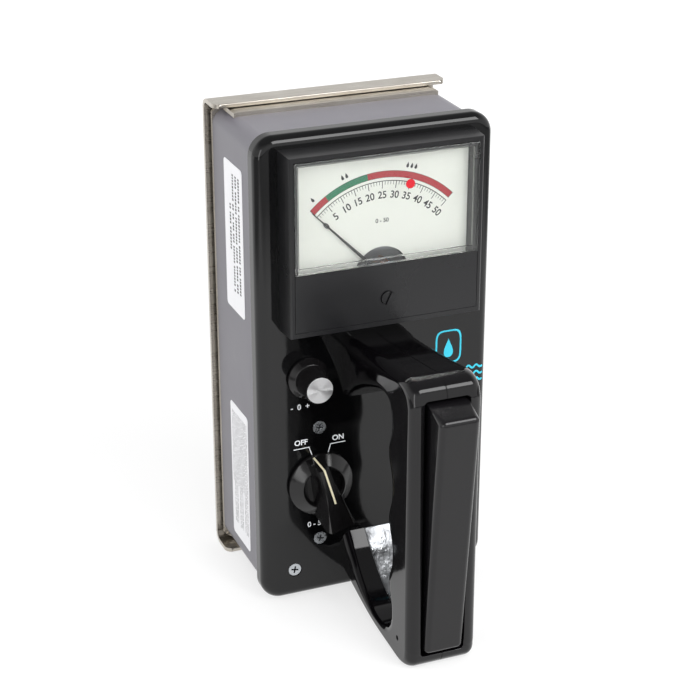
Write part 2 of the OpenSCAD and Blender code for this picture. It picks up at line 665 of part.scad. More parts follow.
module selector_knob() color(BLACK) selector_place() difference() {
    union() {
        // Skirt: a low cone around a shallow well
        rotate([90, 0, 0]) rotate_extrude($fn = 96)
            polygon([[0, knob_gap], [selector_r, knob_gap], [selector_r, knob_gap + 1.4],
                [selector_r - 0.5, knob_gap + 1.9], [selector_r - 4.6, knob_gap + 5.2],
                [selector_r - 5.2, knob_gap + 5.4], [selector_r - 5.8, knob_gap + 5],
                [selector_r - 6.6, knob_gap + 3.6], [0, knob_gap + 3.6]]);
        // Bar, its top sloping down to the nose
        difference() {
            pointer_bar();
            translate([-10, -selector_h, slope_z]) rotate([-atan(bar_drop / (nose_z - slope_z)), 0, 0])
                translate([0, -6, 0]) cube([20, 6, 30]);
        }
    }
    rod_y(0, 0, shaft_r, -selector_h + 4, 1);
    rod_y(0, 0, 8.4, -knob_gap - knob_nut_t - 0.2, 1);
    // Groove of the index line, along the bar's top and down its nose
    index_line(0.05, 0.1);
}
line_w = 0.9;
line_d = 0.5;
// The line runs from behind the knob's axis; the top slopes from just before it
line_z = -2.5;
slope_z = 1;
// The ivory index line: on the sloping top, then down the nose and out over the skirt
module index_line(clear, over) {
    nose_y = -selector_h + bar_drop;
    hw = line_w / 2 + clear;
    rotate([90, 0, 90]) translate([0, 0, -hw]) linear_extrude(height = 2 * hw) polygon([
        [-selector_h - over, line_z - clear], [-selector_h - over, slope_z],
        [nose_y - over, nose_z + over], [-knob_gap - 1.9, nose_z + over],
        [-knob_gap - 1.9, nose_z - line_d], [nose_y + line_d, nose_z - line_d],
        [-selector_h + line_d, slope_z], [-selector_h + line_d, line_z - clear]]);
}
module selector_line() color(IVORY) selector_place() index_line(0, 0);
module selector_shaft() color("#c2c2be") at_panel()
    rod_y(selector_x, selector_z, shaft_r, -selector_h + 4, cover_wall + 6, 32);
switch_body_r = 10.5;
switch_body_l = 12;
module rotary_switch() color("#4c4a42") at_panel() {
    control_body(selector_x, selector_z, switch_body_r, switch_body_l);
    // Ring of solder tags at the back
    for (i = [0 : 11]) rotate_about(selector_x, selector_z, i * 30)
        translate([-0.8, cover_wall + switch_body_l - EPS, 7.2]) cube([1.6, 3.5, 0.7]);
}
module selector_nut() color(ZINC) at_panel() control_nut(selector_x, selector_z);

// ---------- handle ----------
// Side view of the handle as stations round the loop, from its upper foot to its lower foot.
// Each is [inner y, inner z, outer y, outer z, inner edge radius, outer edge radius],
// y negative in front of the cover.
// The heights of the upper arm count from arm_top, those of the lower arm from the floor.
UPPER_ARM = [for (s = [
    [0, -29.5, 0, -0.1, 5, 5], [-4, -25.6, -4, 0, 5, 5], [-9.5, -22.1, -10, 0.3, 6, 6],
    [-20, -16.8, -22, 1.5, 6, 6], [-34, -11.5, -38, 3.6, 6, 6], [-43, -9.9, -54, 5.8, 7, 6],
    [-48.4, -11.9, -66.5, 7.4, 8, 5.5], [-50.4, -15.9, -73.4, 4.9, 8, 5], [-50.7, -20.7, -76, -1.2, 8.5, 4.5]
]) [s[0], arm_top + s[1], s[2], arm_top + s[3], s[4], s[5]]];
GRIP_END = [-51.6, 19, -76, 8, 8.5, 4.5];
LOWER_ARM = [
    [-51, 13.5, -75, 2.8, 7, 4.5], [-48.6, 8.9, -70, 0, 5, 4.2], [-44.3, 6.6, -57, 0.9, 2.6, 3],
    [-32.4, 7.9, -38, 2.1, 2.4, 2.6], [-21.1, 12.7, -24, 4.1, 3, 3],
    [-11.6, 19.1, -12, 6.5, 3.5, 3.5], [-5.6, 23.8, -5, 7.9, 4, 4], [0, 29.9, 0, 9, 4, 4]
];
STATIONS = concat(UPPER_ARM, [GRIP_END], LOWER_ARM);
grip_seg = len(UPPER_ARM) - 1;
arm_steps = 3;
grip_steps = 30;
// Smooth curve through four neighbours, t from 0 to 1 between the middle two
function smooth(a, b, c, d, t) =
    0.5 * ((2 * b) + (c - a) * t + (2 * a - 5 * b + 4 * c - d) * t * t + (3 * b - a - 3 * c + d) * t * t * t);
function station(i) = STATIONS[max(0, min(len(STATIONS) - 1, i))];
function between(i, t) = i == grip_seg
    ? with_ridge(station(i) + (station(i + 1) - station(i)) * t)
    : smooth(i == grip_seg + 1 ? 2 * station(i) - station(i + 1) : station(i - 1), station(i),
        station(i + 1), i + 1 == grip_seg ? station(i + 1) : station(i + 2), t);
// Finger ridges on the inner side of the grip, faded out towards the lower arm
ridge_end = 20;
ridge_fade = 16;
function ridge(z) = (z < ridge_end || z > ridge_z + ridge_pitch / 2) ? 0
    : ridge_h * pow((1 + cos(360 * (z - ridge_z) / ridge_pitch)) / 2, 1.5)
        * min(1, (z - ridge_end) / ridge_fade);
function with_ridge(s) = [s[0] + ridge(s[1]), s[1], s[2], s[3], s[4], s[5]];
RAIL = [for (i = [0 : len(STATIONS) - 2]) let (n = i == grip_seg ? grip_steps : arm_steps)
    for (k = [0 : n - 1]) between(i, k / n), STATIONS[len(STATIONS) - 1]];
edge_steps = 4;
// Half section of the handle: [across, share of the way from the inner to the outer point, offset]
function half_section(s) = let (t = norm([s[2] - s[0], s[3] - s[1]]), ri = min(s[4], t * 0.45),
    ro = min(s[5], t * 0.45)) concat(
    [[0, 0]],
    [for (k = [0 : edge_steps]) let (a = 90 * k / edge_steps)
        [handle_hw - ri + ri * sin(a), ri - ri * cos(a)]],
    [for (k = [0 : edge_steps]) let (a = 90 * k / edge_steps)
        [handle_hw - ro + ro * cos(a), t - ro + ro * sin(a)]],
    [[0, t]]);
function ring(s, side) = let (t = norm([s[2] - s[0], s[3] - s[1]]),
    d = [(s[2] - s[0]) / t, (s[3] - s[1]) / t])
    [for (p = half_section(s)) [side * p[0], s[0] + d[0] * p[1], s[1] + d[1] * p[1]]];
// Solid of one half, closed along the seam on x = 0
module handle_solid(side) {
    n = 2 * edge_steps + 4;
    m = len(RAIL);
    pts = [for (s = RAIL) for (p = ring(s, side)) p];
    faces = concat(
        [[for (k = [0 : n - 1]) k]],
        [[for (k = [n - 1 : -1 : 0]) (m - 1) * n + k]],
        [for (i = [0 : m - 2]) for (k = [0 : n - 1]) let (a = i * n + k, b = i * n + (k + 1) % n)
            [a, a + n, b + n, b]]);
    polyhedron(points = pts, faces = side > 0 ? faces : [for (f = faces) [for (k = [len(f) - 1 : -1 : 0]) f[k]]],
        convexity = 8);
}
// The lever's toe, and the back of the room that it swings in
toe_front = 71;
toe_t = 2.6;
toe_up = 2.8;
toe_clear = 0.5;
toe_back = toe_front - toe_t - (lever_top + toe_up - pin_z) * sin(lever_travel) - toe_clear;
switch_z = 27;
SWITCH = [6.4, 6, 13];
spring_z = 62;
spring_seat_r = 3.6;
spring_seat = 2.4;
module handle_half(side) {
    difference() {
        handle_solid(side);
        // Lever slot, open at the front
        translate([-slot_hw, -90, slot_z0]) cube([2 * slot_hw, 90 - slot_back, slot_z1 - slot_z0]);
        // Pocket behind the upper lip of the slot for the lever's toe
        translate([-slot_hw, -toe_front - toe_clear, slot_z1 - 4])
            cube([2 * slot_hw, toe_front + toe_clear - toe_back, 4 + toe_up - lever_top_gap + 1.9]);
        // Pocket for the trigger switch
        translate([-SWITCH[0] / 2, -slot_back - 1, switch_z - SWITCH[2] / 2])
            cube([SWITCH[0], SWITCH[1] + 1, SWITCH[2]]);
        // Seat of the return spring
        rod_y(0, spring_z, spring_seat_r, -slot_back - 1, -slot_back + spring_seat + 0.1);
        // Hinge pin
        translate([-handle_hw - 1, -pin_out, pin_z]) rotate([0, 90, 0])
            cylinder(r = pin_r, h = 2 * handle_hw + 2, $fn = 32);
        // Screws from inside the cover
        for (p = HANDLE_SCREWS) rod_y(p[0], p[1], screw_r, cover_wall - handle_screw_len - 0.5, 1, 24);
    }
}
module handle_left() color(BLACK) at_panel() handle_half(-1);
module handle_right() color(BLACK) at_panel() handle_half(1);
module handle_screws() color(ZINC) at_panel() for (p = HANDLE_SCREWS) {
    rod_y(p[0], p[1], screw_r, cover_wall - handle_screw_len, cover_wall + EPS, 24);
    rod_y(p[0], p[1], screw_head_r, cover_wall, cover_wall + head_t);
}
// Foil strip that follows the inside of the lower arm
foil_x0 = -5.2;
foil_w = 12.7;
foil_t = 0.3;
foil_reach = 40.5;
FOIL = [for (s = RAIL) if (s[0] > -foil_reach && s[1] < arm_top / 2) [s[0], s[1]]];
function foil_top(i) = let (d = FOIL[min(len(FOIL) - 1, i + 1)] - FOIL[max(0, i - 1)])
    FOIL[i] + foil_t * [-d[1], d[0]] / norm(d);
module handle_foil() color("#cfd0d2") at_panel() translate([foil_x0, 0, 0])
    rotate([90, 0, 90]) linear_extrude(height = foil_w)
        polygon(concat([for (i = [0 : len(FOIL) - 1]) foil_top(i)],
            [for (i = [len(FOIL) - 1 : -1 : 0]) FOIL[i]]));

// ---------- squeeze lever ----------
lever_r = 2.6;
lever_foot_z = slot_z0 + 1.4;
lever_rear_top = 73.2;
lever_rear_foot = 61.4;
lever_foot_h = 8;
// Profile corners in Y-Z, front bottom, front top, rear top, rear bottom
module lever_body() {
    hull() {
        for (sx = [-1, 1]) {
            translate([sx * (lever_hw - lever_r), -lever_foot + lever_r, lever_foot_z + lever_r])
                sphere(r = lever_r, $fn = 24);
            translate([sx * (lever_hw - lever_r), -lever_reach + lever_r, lever_top - 2 - lever_r])
                sphere(r = lever_r, $fn = 24);
        }
        translate([-lever_hw, -lever_rear_top - 4, lever_top - 1]) cube([2 * lever_hw, 4, 1]);
        translate([-lever_hw, -lever_rear_foot - 6, lever_foot_z]) cube([2 * lever_hw, 6, lever_foot_h]);
    }
}
// Distance of the lever's rear face in front of the cover, at a height above its foot
function lever_rear(z) = lever_rear_foot + (lever_rear_top - lever_rear_foot)
    * (z - lever_foot_z - lever_foot_h) / (lever_top - 1 - lever_foot_z - lever_foot_h);
toe_side = 0.6;
rib = 5;
module squeeze_lever() color(BLACK) at_panel() difference() {
    union() {
        lever_body();
        // Toe that stops the lever behind the upper end of the slot
        translate([-lever_hw + toe_side, -toe_front, lever_top - 2])
            cube([2 * (lever_hw - toe_side), toe_t, 2 + toe_up]);
        translate([-lever_hw + toe_side, -toe_front - 3, lever_top - 2])
            cube([2 * (lever_hw - toe_side), 3 + toe_t, 1.9]);
    }
    // Hollow from behind, leaving the front and side walls and ribs across
    low = spring_z + 8;
    high = lever_top - 8.2;
    lever_hollow(switch_z + 9, spring_z - 8);
    lever_hollow(low, (low + high - rib) / 2);
    lever_hollow((low + high + rib) / 2, high);
    translate([-handle_hw, -pin_out, pin_z]) rotate([0, 90, 0])
        cylinder(r = pin_r + run_clear, h = 2 * handle_hw, $fn = 32);
    rod_y(0, spring_z, spring_seat_r, -spring_front, -50);
}
// Pocket between two heights, following the leaning front wall
module lever_hollow(z0, z1) {
    front = function(z) lever_foot + (lever_reach - lever_foot) * (z - lever_foot_z) / (lever_top - lever_foot_z)
        - lever_wall - 0.6;
    rotate([90, 0, 90]) translate([0, 0, -lever_hw + lever_wall])
        linear_extrude(height = 2 * (lever_hw - lever_wall))
            polygon([[-front(z0), z0], [-front(z1), z1], [-50, z1], [-50, z0]]);
}
module lever_pin() color(ZINC) at_panel() translate([-handle_hw + 0.8, -pin_out, pin_z])
    rotate([0, 90, 0]) cylinder(r = pin_r, h = 2 * handle_hw - 1.6, $fn = 32);
// Compression spring between the lever and the back of the slot
spring_front = 77;
spring_back = slot_back - spring_seat;
spring_r = 2.7;
wire_r = 0.35;
spring_turns = 8;
module lever_spring() color(ZINC) at_panel() {
    sides = 6;
    per_turn = 14;
    m = spring_turns * per_turn;
    length = spring_front - spring_back - 2 * wire_r - 0.1;
    pts = [for (i = [0 : m]) for (k = [0 : sides - 1]) let (a = 360 * i / per_turn, b = 360 * k / sides,
        r = spring_r + wire_r * cos(b))
        [r * cos(a), -spring_front + 0.05 + wire_r + length * i / m + wire_r * sin(b), spring_z + r * sin(a)]];
    polyhedron(points = pts, faces = concat(
        [[for (k = [0 : sides - 1]) k]],
        [[for (k = [sides - 1 : -1 : 0]) m * sides + k]],
        [for (i = [0 : m - 1]) for (k = [0 : sides - 1])
            let (a = i * sides + k, b = i * sides + (k + 1) % sides) [a, a + sides, b + sides, b]]),
        convexity = 10);
}
// Switch that the lever closes at the end of its travel
plunger_r = 1.3;
plunger_gap = 0.15;
plunger_out = lever_rear(switch_z) - slot_back - plunger_gap;
module trigger_switch() color("#26262a") at_panel() difference() {
    translate([-SWITCH[0] / 2, -slot_back, switch_z - SWITCH[2] / 2]) cube(SWITCH);
    rod_y(0, switch_z, plunger_r + run_clear, -slot_back - 1, -slot_back + 4, 32);
}
module switch_plunger() color("#b5302c") at_panel()
    rod_y(0, switch_z, plunger_r, -slot_back - plunger_out, -slot_back + 2, 32);

// ---------- fasteners of the cover ----------
module corner_screws() color(ZINC) at_panel() for (p = CORNER_SCREWS)
    translate([p[0], head_drop, p[1]]) panel_screw(9);
module panel_screws() color(ZINC) at_panel() for (p = PANEL_SCREWS)
    translate([p[0], head_drop, p[1]]) panel_screw(8.5);

// ---------- electronics ----------
board_y = 24;
board_t = 1.6;
board_z0 = 14;
board_side = 11;
BOARD = [2 * (panel_screw_x + board_side), barrel_z - barrel_r - 16.6 - board_z0];
module board_standoffs() color(ZINC) at_panel() for (p = PANEL_SCREWS) difference() {
    rod_y(p[0], p[1], 3.2, cover_wall, board_y, 6);
    rod_y(p[0], p[1], screw_r, cover_wall - 1, cover_wall + 7, 24);
    rod_y(p[0], p[1], screw_r, board_y - 6, board_y + 1, 24);
}
module circuit_board() color("#2f5d3a") at_panel() difference() {
    translate([-BOARD[0] / 2, board_y, board_z0]) cube([BOARD[0], board_t, BOARD[1]]);
    for (p = PANEL_SCREWS) rod_y(p[0], p[1], screw_r + 0.1, board_y - 1, board_y + board_t + 1, 24);
}
module board_screws() color(ZINC) at_panel() for (p = PANEL_SCREWS) {
    rod_y(p[0], p[1], screw_r, board_y - 5, board_y + board_t + EPS, 24);
    rod_y(p[0], p[1], screw_head_r, board_y + board_t, board_y + board_t + head_t);
}
// Chips, capacitors, resistors and a shielded coil on the board's back
CHIP = [8, 3.4, 18];
RESISTOR = [7, 2.2, 2.4];
can_r = 3.5;
can_h = 9;
coil_can = 12;
// Rows keep this far from the screws
row_off = 14.6;
module board_parts() color("#3a3a40") at_panel() translate([0, board_y + board_t, board_z0]) {
    screw_low = panel_screw_low - board_z0;
    screw_high = panel_screw_high - board_z0;
    for (i = [-1 : 1]) translate([i * 2 * CHIP[0] - 6, 0, BOARD[1] - CHIP[2] - CHIP[0]]) cube(CHIP);
    for (i = [0 : 2]) rod_y(-8 * can_r + i * 10, BOARD[1] * 0.54, can_r, 0, can_h, 32);
    // Resistors in rows and the coil's can between the lower and upper screws
    for (i = [0, 1], k = [0 : 3])
        translate([8 + i * 12, 0, screw_low + row_off + k * (screw_high - screw_low - 2 * row_off) / 3])
            cube(RESISTOR);
    translate([-26, 0, screw_low + 10.9]) cube(coil_can);
}
cell_r = 7.2;
cell_len = 49;
cell_gap = 0.4;
cell_tip = 1.2;
battery_down = 51.3;
battery_z = case_top - case_wall - battery_down;
cell_y = case_depth - case_wall - cell_r - 0.5;
CELLS = [for (i = [-1.5 : 1.5]) i * (2 * cell_r + cell_gap)];
module battery_cells() color("#3b6ea5") at_panel() for (x = CELLS) {
    translate([x, cell_y, battery_z - cell_len / 2]) cylinder(r = cell_r, h = cell_len, $fn = 40);
    translate([x, cell_y, battery_z + cell_len / 2 - EPS]) cylinder(r = 2.6, h = cell_tip + EPS, $fn = 24);
}
// Strap over the cells with a foot above and below
strap_w = 16;
strap_t = 1.2;
strap_y = cell_y - cell_r - 0.3;
strap_end = cell_len / 2 + cell_tip + 0.3;
strap_foot = 9.2;
foot_y = case_depth - case_wall;
clamp_screw_dz = strap_end + strap_t + screw_head_r + 0.4;
module battery_clamp() color(STEEL) at_panel() for (s = [-1, 1]) translate([0, 0, battery_z]) {
    translate([-strap_w / 2, strap_y - strap_t, s < 0 ? -strap_end - strap_t : -EPS])
        cube([strap_w, strap_t, strap_end + strap_t + EPS]);
    translate([-strap_w / 2, strap_y - EPS, s < 0 ? -strap_end - strap_t : strap_end])
        cube([strap_w, foot_y - strap_y + EPS, strap_t]);
    difference() {
        translate([-strap_w / 2, foot_y - strap_t, s < 0 ? -strap_end - strap_foot : strap_end])
            cube([strap_w, strap_t, strap_foot]);
        rod_y(0, s * clamp_screw_dz, screw_r + 0.1, foot_y - 3, foot_y + 1, 24);
    }
}
module clamp_screws() color(ZINC) at_panel() for (s = [-1, 1]) {
    rod_y(0, battery_z + s * clamp_screw_dz, screw_r, foot_y - strap_t - EPS, case_depth, 24);
    rod_y(0, battery_z + s * clamp_screw_dz, screw_head_r, foot_y - strap_t - head_t, foot_y - strap_t);
}
// Charging jack through the right-hand side of the case
module charge_jack() color("#303034") at_panel() translate([case_w / 2, jack_y, jack_z])
    rotate([0, 90, 0]) difference() {
        union() {
            translate([0, 0, -case_wall - jack_body]) cylinder(r = jack_nut_r, h = jack_body, $fn = 40);
            translate([0, 0, -case_wall - EPS]) cylinder(r = jack_r, h = case_wall + 2, $fn = 40);
        }
        translate([0, 0, -jack_body]) cylinder(r = jack_bore_r, h = jack_body + 4, $fn = 32);
    }
module jack_nut() color(ZINC) at_panel() translate([case_w / 2, jack_y, jack_z])
    rotate([0, 90, 0]) difference() {
        cylinder(r = jack_nut_r, h = 1.6, $fn = 6);
        translate([0, 0, -1]) cylinder(r = jack_r, h = 4, $fn = 40);
    }

// ---------- labels on the left-hand side ----------
label_t = 0.15;
label_r = 2;
LABEL = [24, 69];
// Distances of the labels from the lip, the lower one from the case's foot and the upper from its top
label_in = 12.9;
label_low = 11.1;
label_high = 17.5;
module side_label(z) {
    translate([-case_w / 2, cover_depth + label_in, z]) rotate([90, 0, -90])
        linear_extrude(height = label_t) translate([-LABEL[0] / 2, 0])
            round_rect(LABEL[0], LABEL[1], label_r);
}
module side_label_upper() color(WHITE) at_panel() side_label(case_top - label_high - LABEL[1]);
module side_label_lower() color(WHITE) at_panel() side_label(case_z + label_low);

front_cover();
case_body();
rear_pan();
sensor_plate();
plate_spacers();
plate_studs();
meter_housing();
meter_window();
meter_lower_panel();
dial_plate();
pointer();
pointer_coil();
zero_screw();
meter_movement();
hairspring();
meter_studs();
meter_nuts();
adjust_knob();
adjust_cap();
adjust_shaft();
adjust_pot();
adjust_nut();
selector_knob();
selector_line();
selector_shaft();
rotary_switch();
selector_nut();
handle_left();
handle_right();
handle_screws();
handle_foil();
squeeze_lever();
lever_pin();
lever_spring();
trigger_switch();
switch_plunger();
corner_screws();
panel_screws();
board_standoffs();
circuit_board();
board_parts();
board_screws();
battery_cells();
battery_clamp();
clamp_screws();
charge_jack();
jack_nut();
side_label_upper();
side_label_lower();
set_dot();
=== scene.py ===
"""Looks of a hand-held moisture meter: moulded box, dial, controls, D-handle and steel plate.

Lengths in the tables are millimetres. x and z are the frame's; y counts from the face of the
front cover, negative towards the user, and pt() turns such a place into the frame's metres.
"""

import json
import math

import bmesh
import bpy
import numpy as np
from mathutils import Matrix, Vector


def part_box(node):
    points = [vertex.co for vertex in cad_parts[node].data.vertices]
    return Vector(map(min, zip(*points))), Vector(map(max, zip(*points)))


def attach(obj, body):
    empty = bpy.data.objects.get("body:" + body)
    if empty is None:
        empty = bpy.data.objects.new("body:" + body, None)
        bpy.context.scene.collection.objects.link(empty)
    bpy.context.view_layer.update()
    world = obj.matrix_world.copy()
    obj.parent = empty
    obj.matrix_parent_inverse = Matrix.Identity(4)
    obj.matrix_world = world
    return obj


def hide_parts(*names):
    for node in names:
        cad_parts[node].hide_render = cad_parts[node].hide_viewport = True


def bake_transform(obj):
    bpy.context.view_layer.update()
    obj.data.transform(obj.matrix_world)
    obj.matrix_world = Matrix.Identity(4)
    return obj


MM = 0.001
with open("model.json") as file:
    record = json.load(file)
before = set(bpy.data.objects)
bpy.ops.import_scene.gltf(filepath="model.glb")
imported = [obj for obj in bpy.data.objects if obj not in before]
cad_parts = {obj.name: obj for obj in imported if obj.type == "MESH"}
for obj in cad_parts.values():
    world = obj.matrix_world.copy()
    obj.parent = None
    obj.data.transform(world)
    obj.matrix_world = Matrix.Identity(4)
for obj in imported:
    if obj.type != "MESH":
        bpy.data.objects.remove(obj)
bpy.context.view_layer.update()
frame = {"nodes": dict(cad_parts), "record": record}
record = frame["record"]
BODY_OF = {n: b for b, nodes in record["behaviour"]["bodies"].items() for n in nodes}
SLOT_OF = {s["node"]: s["material_slot"] for s in record["subparts"]}
FACE_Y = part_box("front_cover")[0][1] / MM
rng = np.random.default_rng(11)


# Places on the panel, x and z: the two knobs, and the cross-head screws
ADJUST_AT = (-32.6, 111.1)
SELECTOR_AT = (-27.2, 58.1)
SCREWS = [(-39.6, 15.1), (39.6, 15.1)] + [(x, z) for x in (-27, 27) for z in (29.1, 85.3)]


def pt(x, y, z):
    """Frame coordinates in metres of places given from the cover's face, as one array."""
    x, y, z = np.broadcast_arrays(x, y, z)
    return np.stack([x, y + FACE_Y, z], -1) * MM


# ---------------------------------------------------------------- colour and node helpers
def colour(code):
    """Linear RGBA of an sRGB hex value: c/12.92 near black, ((c + 0.055)/1.055)^2.4 above."""
    c = np.array([int(code[i : i + 2], 16) for i in (0, 2, 4)]) / 255
    lin = np.where(c <= 0.04045, c / 12.92, ((c + 0.055) / 1.055) ** 2.4)
    return (*lin.tolist(), 1.0)


def add(tree, kind, inputs=None, **settings):
    """One node with its settings; an input takes a value, or a link from another socket."""
    node = tree.nodes.new(kind)
    for key, value in settings.items():
        setattr(node, key, value)
    for key, value in (inputs or {}).items():
        if isinstance(value, bpy.types.NodeSocket):
            tree.links.new(value, node.inputs[key])
        else:
            node.inputs[key].default_value = value
    return node


def material(name, **constants):
    """A material with one Principled shader; constants name its sockets with _ for a space."""
    mat = bpy.data.materials.new(name)
    mat.use_nodes = True
    shader = mat.node_tree.nodes["Principled BSDF"]
    for key, value in constants.items():
        shader.inputs[key.replace("_", " ")].default_value = value
    return mat, mat.node_tree, shader


def ramp(tree, fac, low, high, start=0.0, end=1.0):
    """Colour ramp from low at start to high at end."""
    node = add(tree, "ShaderNodeValToRGB", {"Fac": fac})
    node.color_ramp.elements[0].position = start
    node.color_ramp.elements[0].color = low
    node.color_ramp.elements[1].position = end
    node.color_ramp.elements[1].color = high
    return node.outputs["Color"]


def spread(tree, fac, low, high, start=0.0, end=1.0):
    """fac from start..end mapped to low..high."""
    node = add(
        tree,
        "ShaderNodeMapRange",
        {"Value": fac, "From Min": start, "From Max": end, "To Min": low, "To Max": high},
    )
    return node.outputs["Result"]


def grain(tree, size_mm, stretch=(1, 1, 1), detail=3.0):
    """Noise whose cells are size_mm wide, longer along an axis whose stretch is above 1."""
    coords = add(tree, "ShaderNodeTexCoord")
    mapping = add(
        tree,
        "ShaderNodeMapping",
        {"Vector": coords.outputs["Object"], "Scale": tuple(1 / s for s in stretch)},
    )
    noise = add(
        tree,
        "ShaderNodeTexNoise",
        {"Vector": mapping.outputs["Vector"], "Scale": 1 / (size_mm * MM), "Detail": detail},
    )
    return noise.outputs["Fac"]


def bump(tree, shader, height, depth_mm):
    """Puts a height from 0 to 1 under the shader as a relief depth_mm deep."""
    node = add(tree, "ShaderNodeBump", {"Height": height, "Strength": 1.0, "Distance": depth_mm * MM})
    tree.links.new(node.outputs["Normal"], shader.inputs["Normal"])


# ---------------------------------------------------------------- materials
def moulded_black(name, code, rough, peel_mm, peel_depth):
    """ABS from a polished tool: near black, glossy, with a long soft waviness and faint haze."""
    mat, tree, shader = material(name, IOR=1.46, Base_Color=colour(code))
    haze = grain(tree, 9.0, detail=4)
    tree.links.new(spread(tree, haze, rough * 0.75, rough * 1.5, 0.3, 0.7), shader.inputs["Roughness"])
    bump(tree, shader, grain(tree, peel_mm, detail=2), peel_depth)
    return mat


def satin_black(name, code, rough, spark_mm=0.5, depth=0.012):
    """ABS from a spark-eroded tool: an even colour with a fine grain that softens reflections.
    The grain is drawn a little coarser than the real 0.2 mm so that it shows."""
    mat, tree, shader = material(name, IOR=1.52)
    patch = grain(tree, 22.0, detail=3)
    base = colour(code)
    light = tuple(min(1, c * 1.12) for c in base[:3]) + (1,)
    tree.links.new(ramp(tree, patch, base, light, 0.35, 0.7), shader.inputs["Base Color"])
    tree.links.new(spread(tree, patch, rough * 0.88, rough * 1.12, 0.3, 0.7), shader.inputs["Roughness"])
    bump(tree, shader, grain(tree, spark_mm, detail=2), depth)
    return mat


def brushed_stainless(name, run):
    """Cold-rolled stainless sheet, brushed along run, handled and rubbed: the brush lines are
    0.35 mm apart and drawn 70 times as long, over faint blotches some 26 mm across."""
    mat, tree, shader = material(name, Metallic=1.0)
    lines = grain(tree, 0.35, stretch=tuple(70 if r else 1 for r in run), detail=3)
    blotch = grain(tree, 26.0, detail=3)
    scuff = grain(tree, 2.2, stretch=tuple(5 if r else 1 for r in run), detail=4)
    worn = ramp(tree, blotch, colour("bab4aa"), colour("cbc6bd"), 0.3, 0.7)
    dark = add(
        tree,
        "ShaderNodeMix",
        {"Factor": spread(tree, scuff, 0.0, 0.3, 0.45, 0.8), "A": worn, "B": colour("9a9188")},
        data_type="RGBA",
    )
    tree.links.new(dark.outputs["Result"], shader.inputs["Base Color"])
    rough = add(
        tree,
        "ShaderNodeMath",
        {0: spread(tree, lines, 0.22, 0.42, 0.3, 0.7), 1: spread(tree, blotch, -0.02, 0.04)},
        operation="ADD",
    )
    tree.links.new(rough.outputs[0], shader.inputs["Roughness"])
    bump(tree, shader, lines, 0.02)
    return mat


def plain_metal(name, code, rough, grain_mm=1.2, depth=0.002):
    """Plated or turned metal: an even colour, with a fine uneven polish."""
    mat, tree, shader = material(name, Metallic=1.0, Base_Color=colour(code))
    fine = grain(tree, grain_mm, detail=3)
    tree.links.new(spread(tree, fine, rough * 0.8, rough * 1.2, 0.3, 0.7), shader.inputs["Roughness"])
    bump(tree, shader, fine, depth)
    return mat


def spun_disc(name, centre):
    """Aluminium cap turned on a lathe: the turning marks run round its centre, so gloss is
    drawn out across them and makes bright opposed wedges."""
    mat, tree, shader = material(name, Metallic=1.0, Base_Color=colour("ececed"), Anisotropic=0.9)
    coords = add(tree, "ShaderNodeTexCoord")
    place = add(
        tree, "ShaderNodeVectorMath", {0: coords.outputs["Object"], 1: tuple(centre)}, operation="SUBTRACT"
    )
    round_it = add(tree, "ShaderNodeVectorMath", {0: place.outputs[0], 1: (0, 1, 0)}, operation="CROSS_PRODUCT")
    along = add(tree, "ShaderNodeVectorMath", {0: round_it.outputs[0]}, operation="NORMALIZE")
    tree.links.new(along.outputs[0], shader.inputs["Tangent"])
    tree.links.new(spread(tree, grain(tree, 0.8), 0.42, 0.52), shader.inputs["Roughness"])
    return mat


def clear_acrylic(name):
    """Cast acrylic pane: clear and polished."""
    clear = colour("fbfdfc")
    return material(name, IOR=1.49, Base_Color=clear, Transmission_Weight=1.0, Roughness=0.0)[0]


def coated(name, code, rough, mottle=0.04, grain_mm=0.4, depth=0.004):
    """Paint, ink, paper or moulding in one colour, slightly mottled."""
    mat, tree, shader = material(name, IOR=1.5, Roughness=rough)
    base = np.array(colour(code)[:3])
    tree.links.new(
        ramp(tree, grain(tree, 6.0), (*(base * (1 - mottle)).tolist(), 1), (*base.tolist(), 1), 0.3, 0.7),
        shader.inputs["Base Color"],
    )
    bump(tree, shader, grain(tree, grain_mm), depth)
    return mat


def crinkled_foil(name):
    """Aluminium tape pressed on by hand: a dull polish with soft creases some 6 mm apart and
    finer ones between."""
    mat, tree, shader = material(name, Metallic=1.0, Base_Color=colour("a2a4a7"))
    crease = grain(tree, 6.0, stretch=(1, 1.4, 1.4), detail=3)
    tree.links.new(spread(tree, crease, 0.2, 0.4, 0.35, 0.65), shader.inputs["Roughness"])
    bump(tree, shader, crease, 1.1)
    return mat


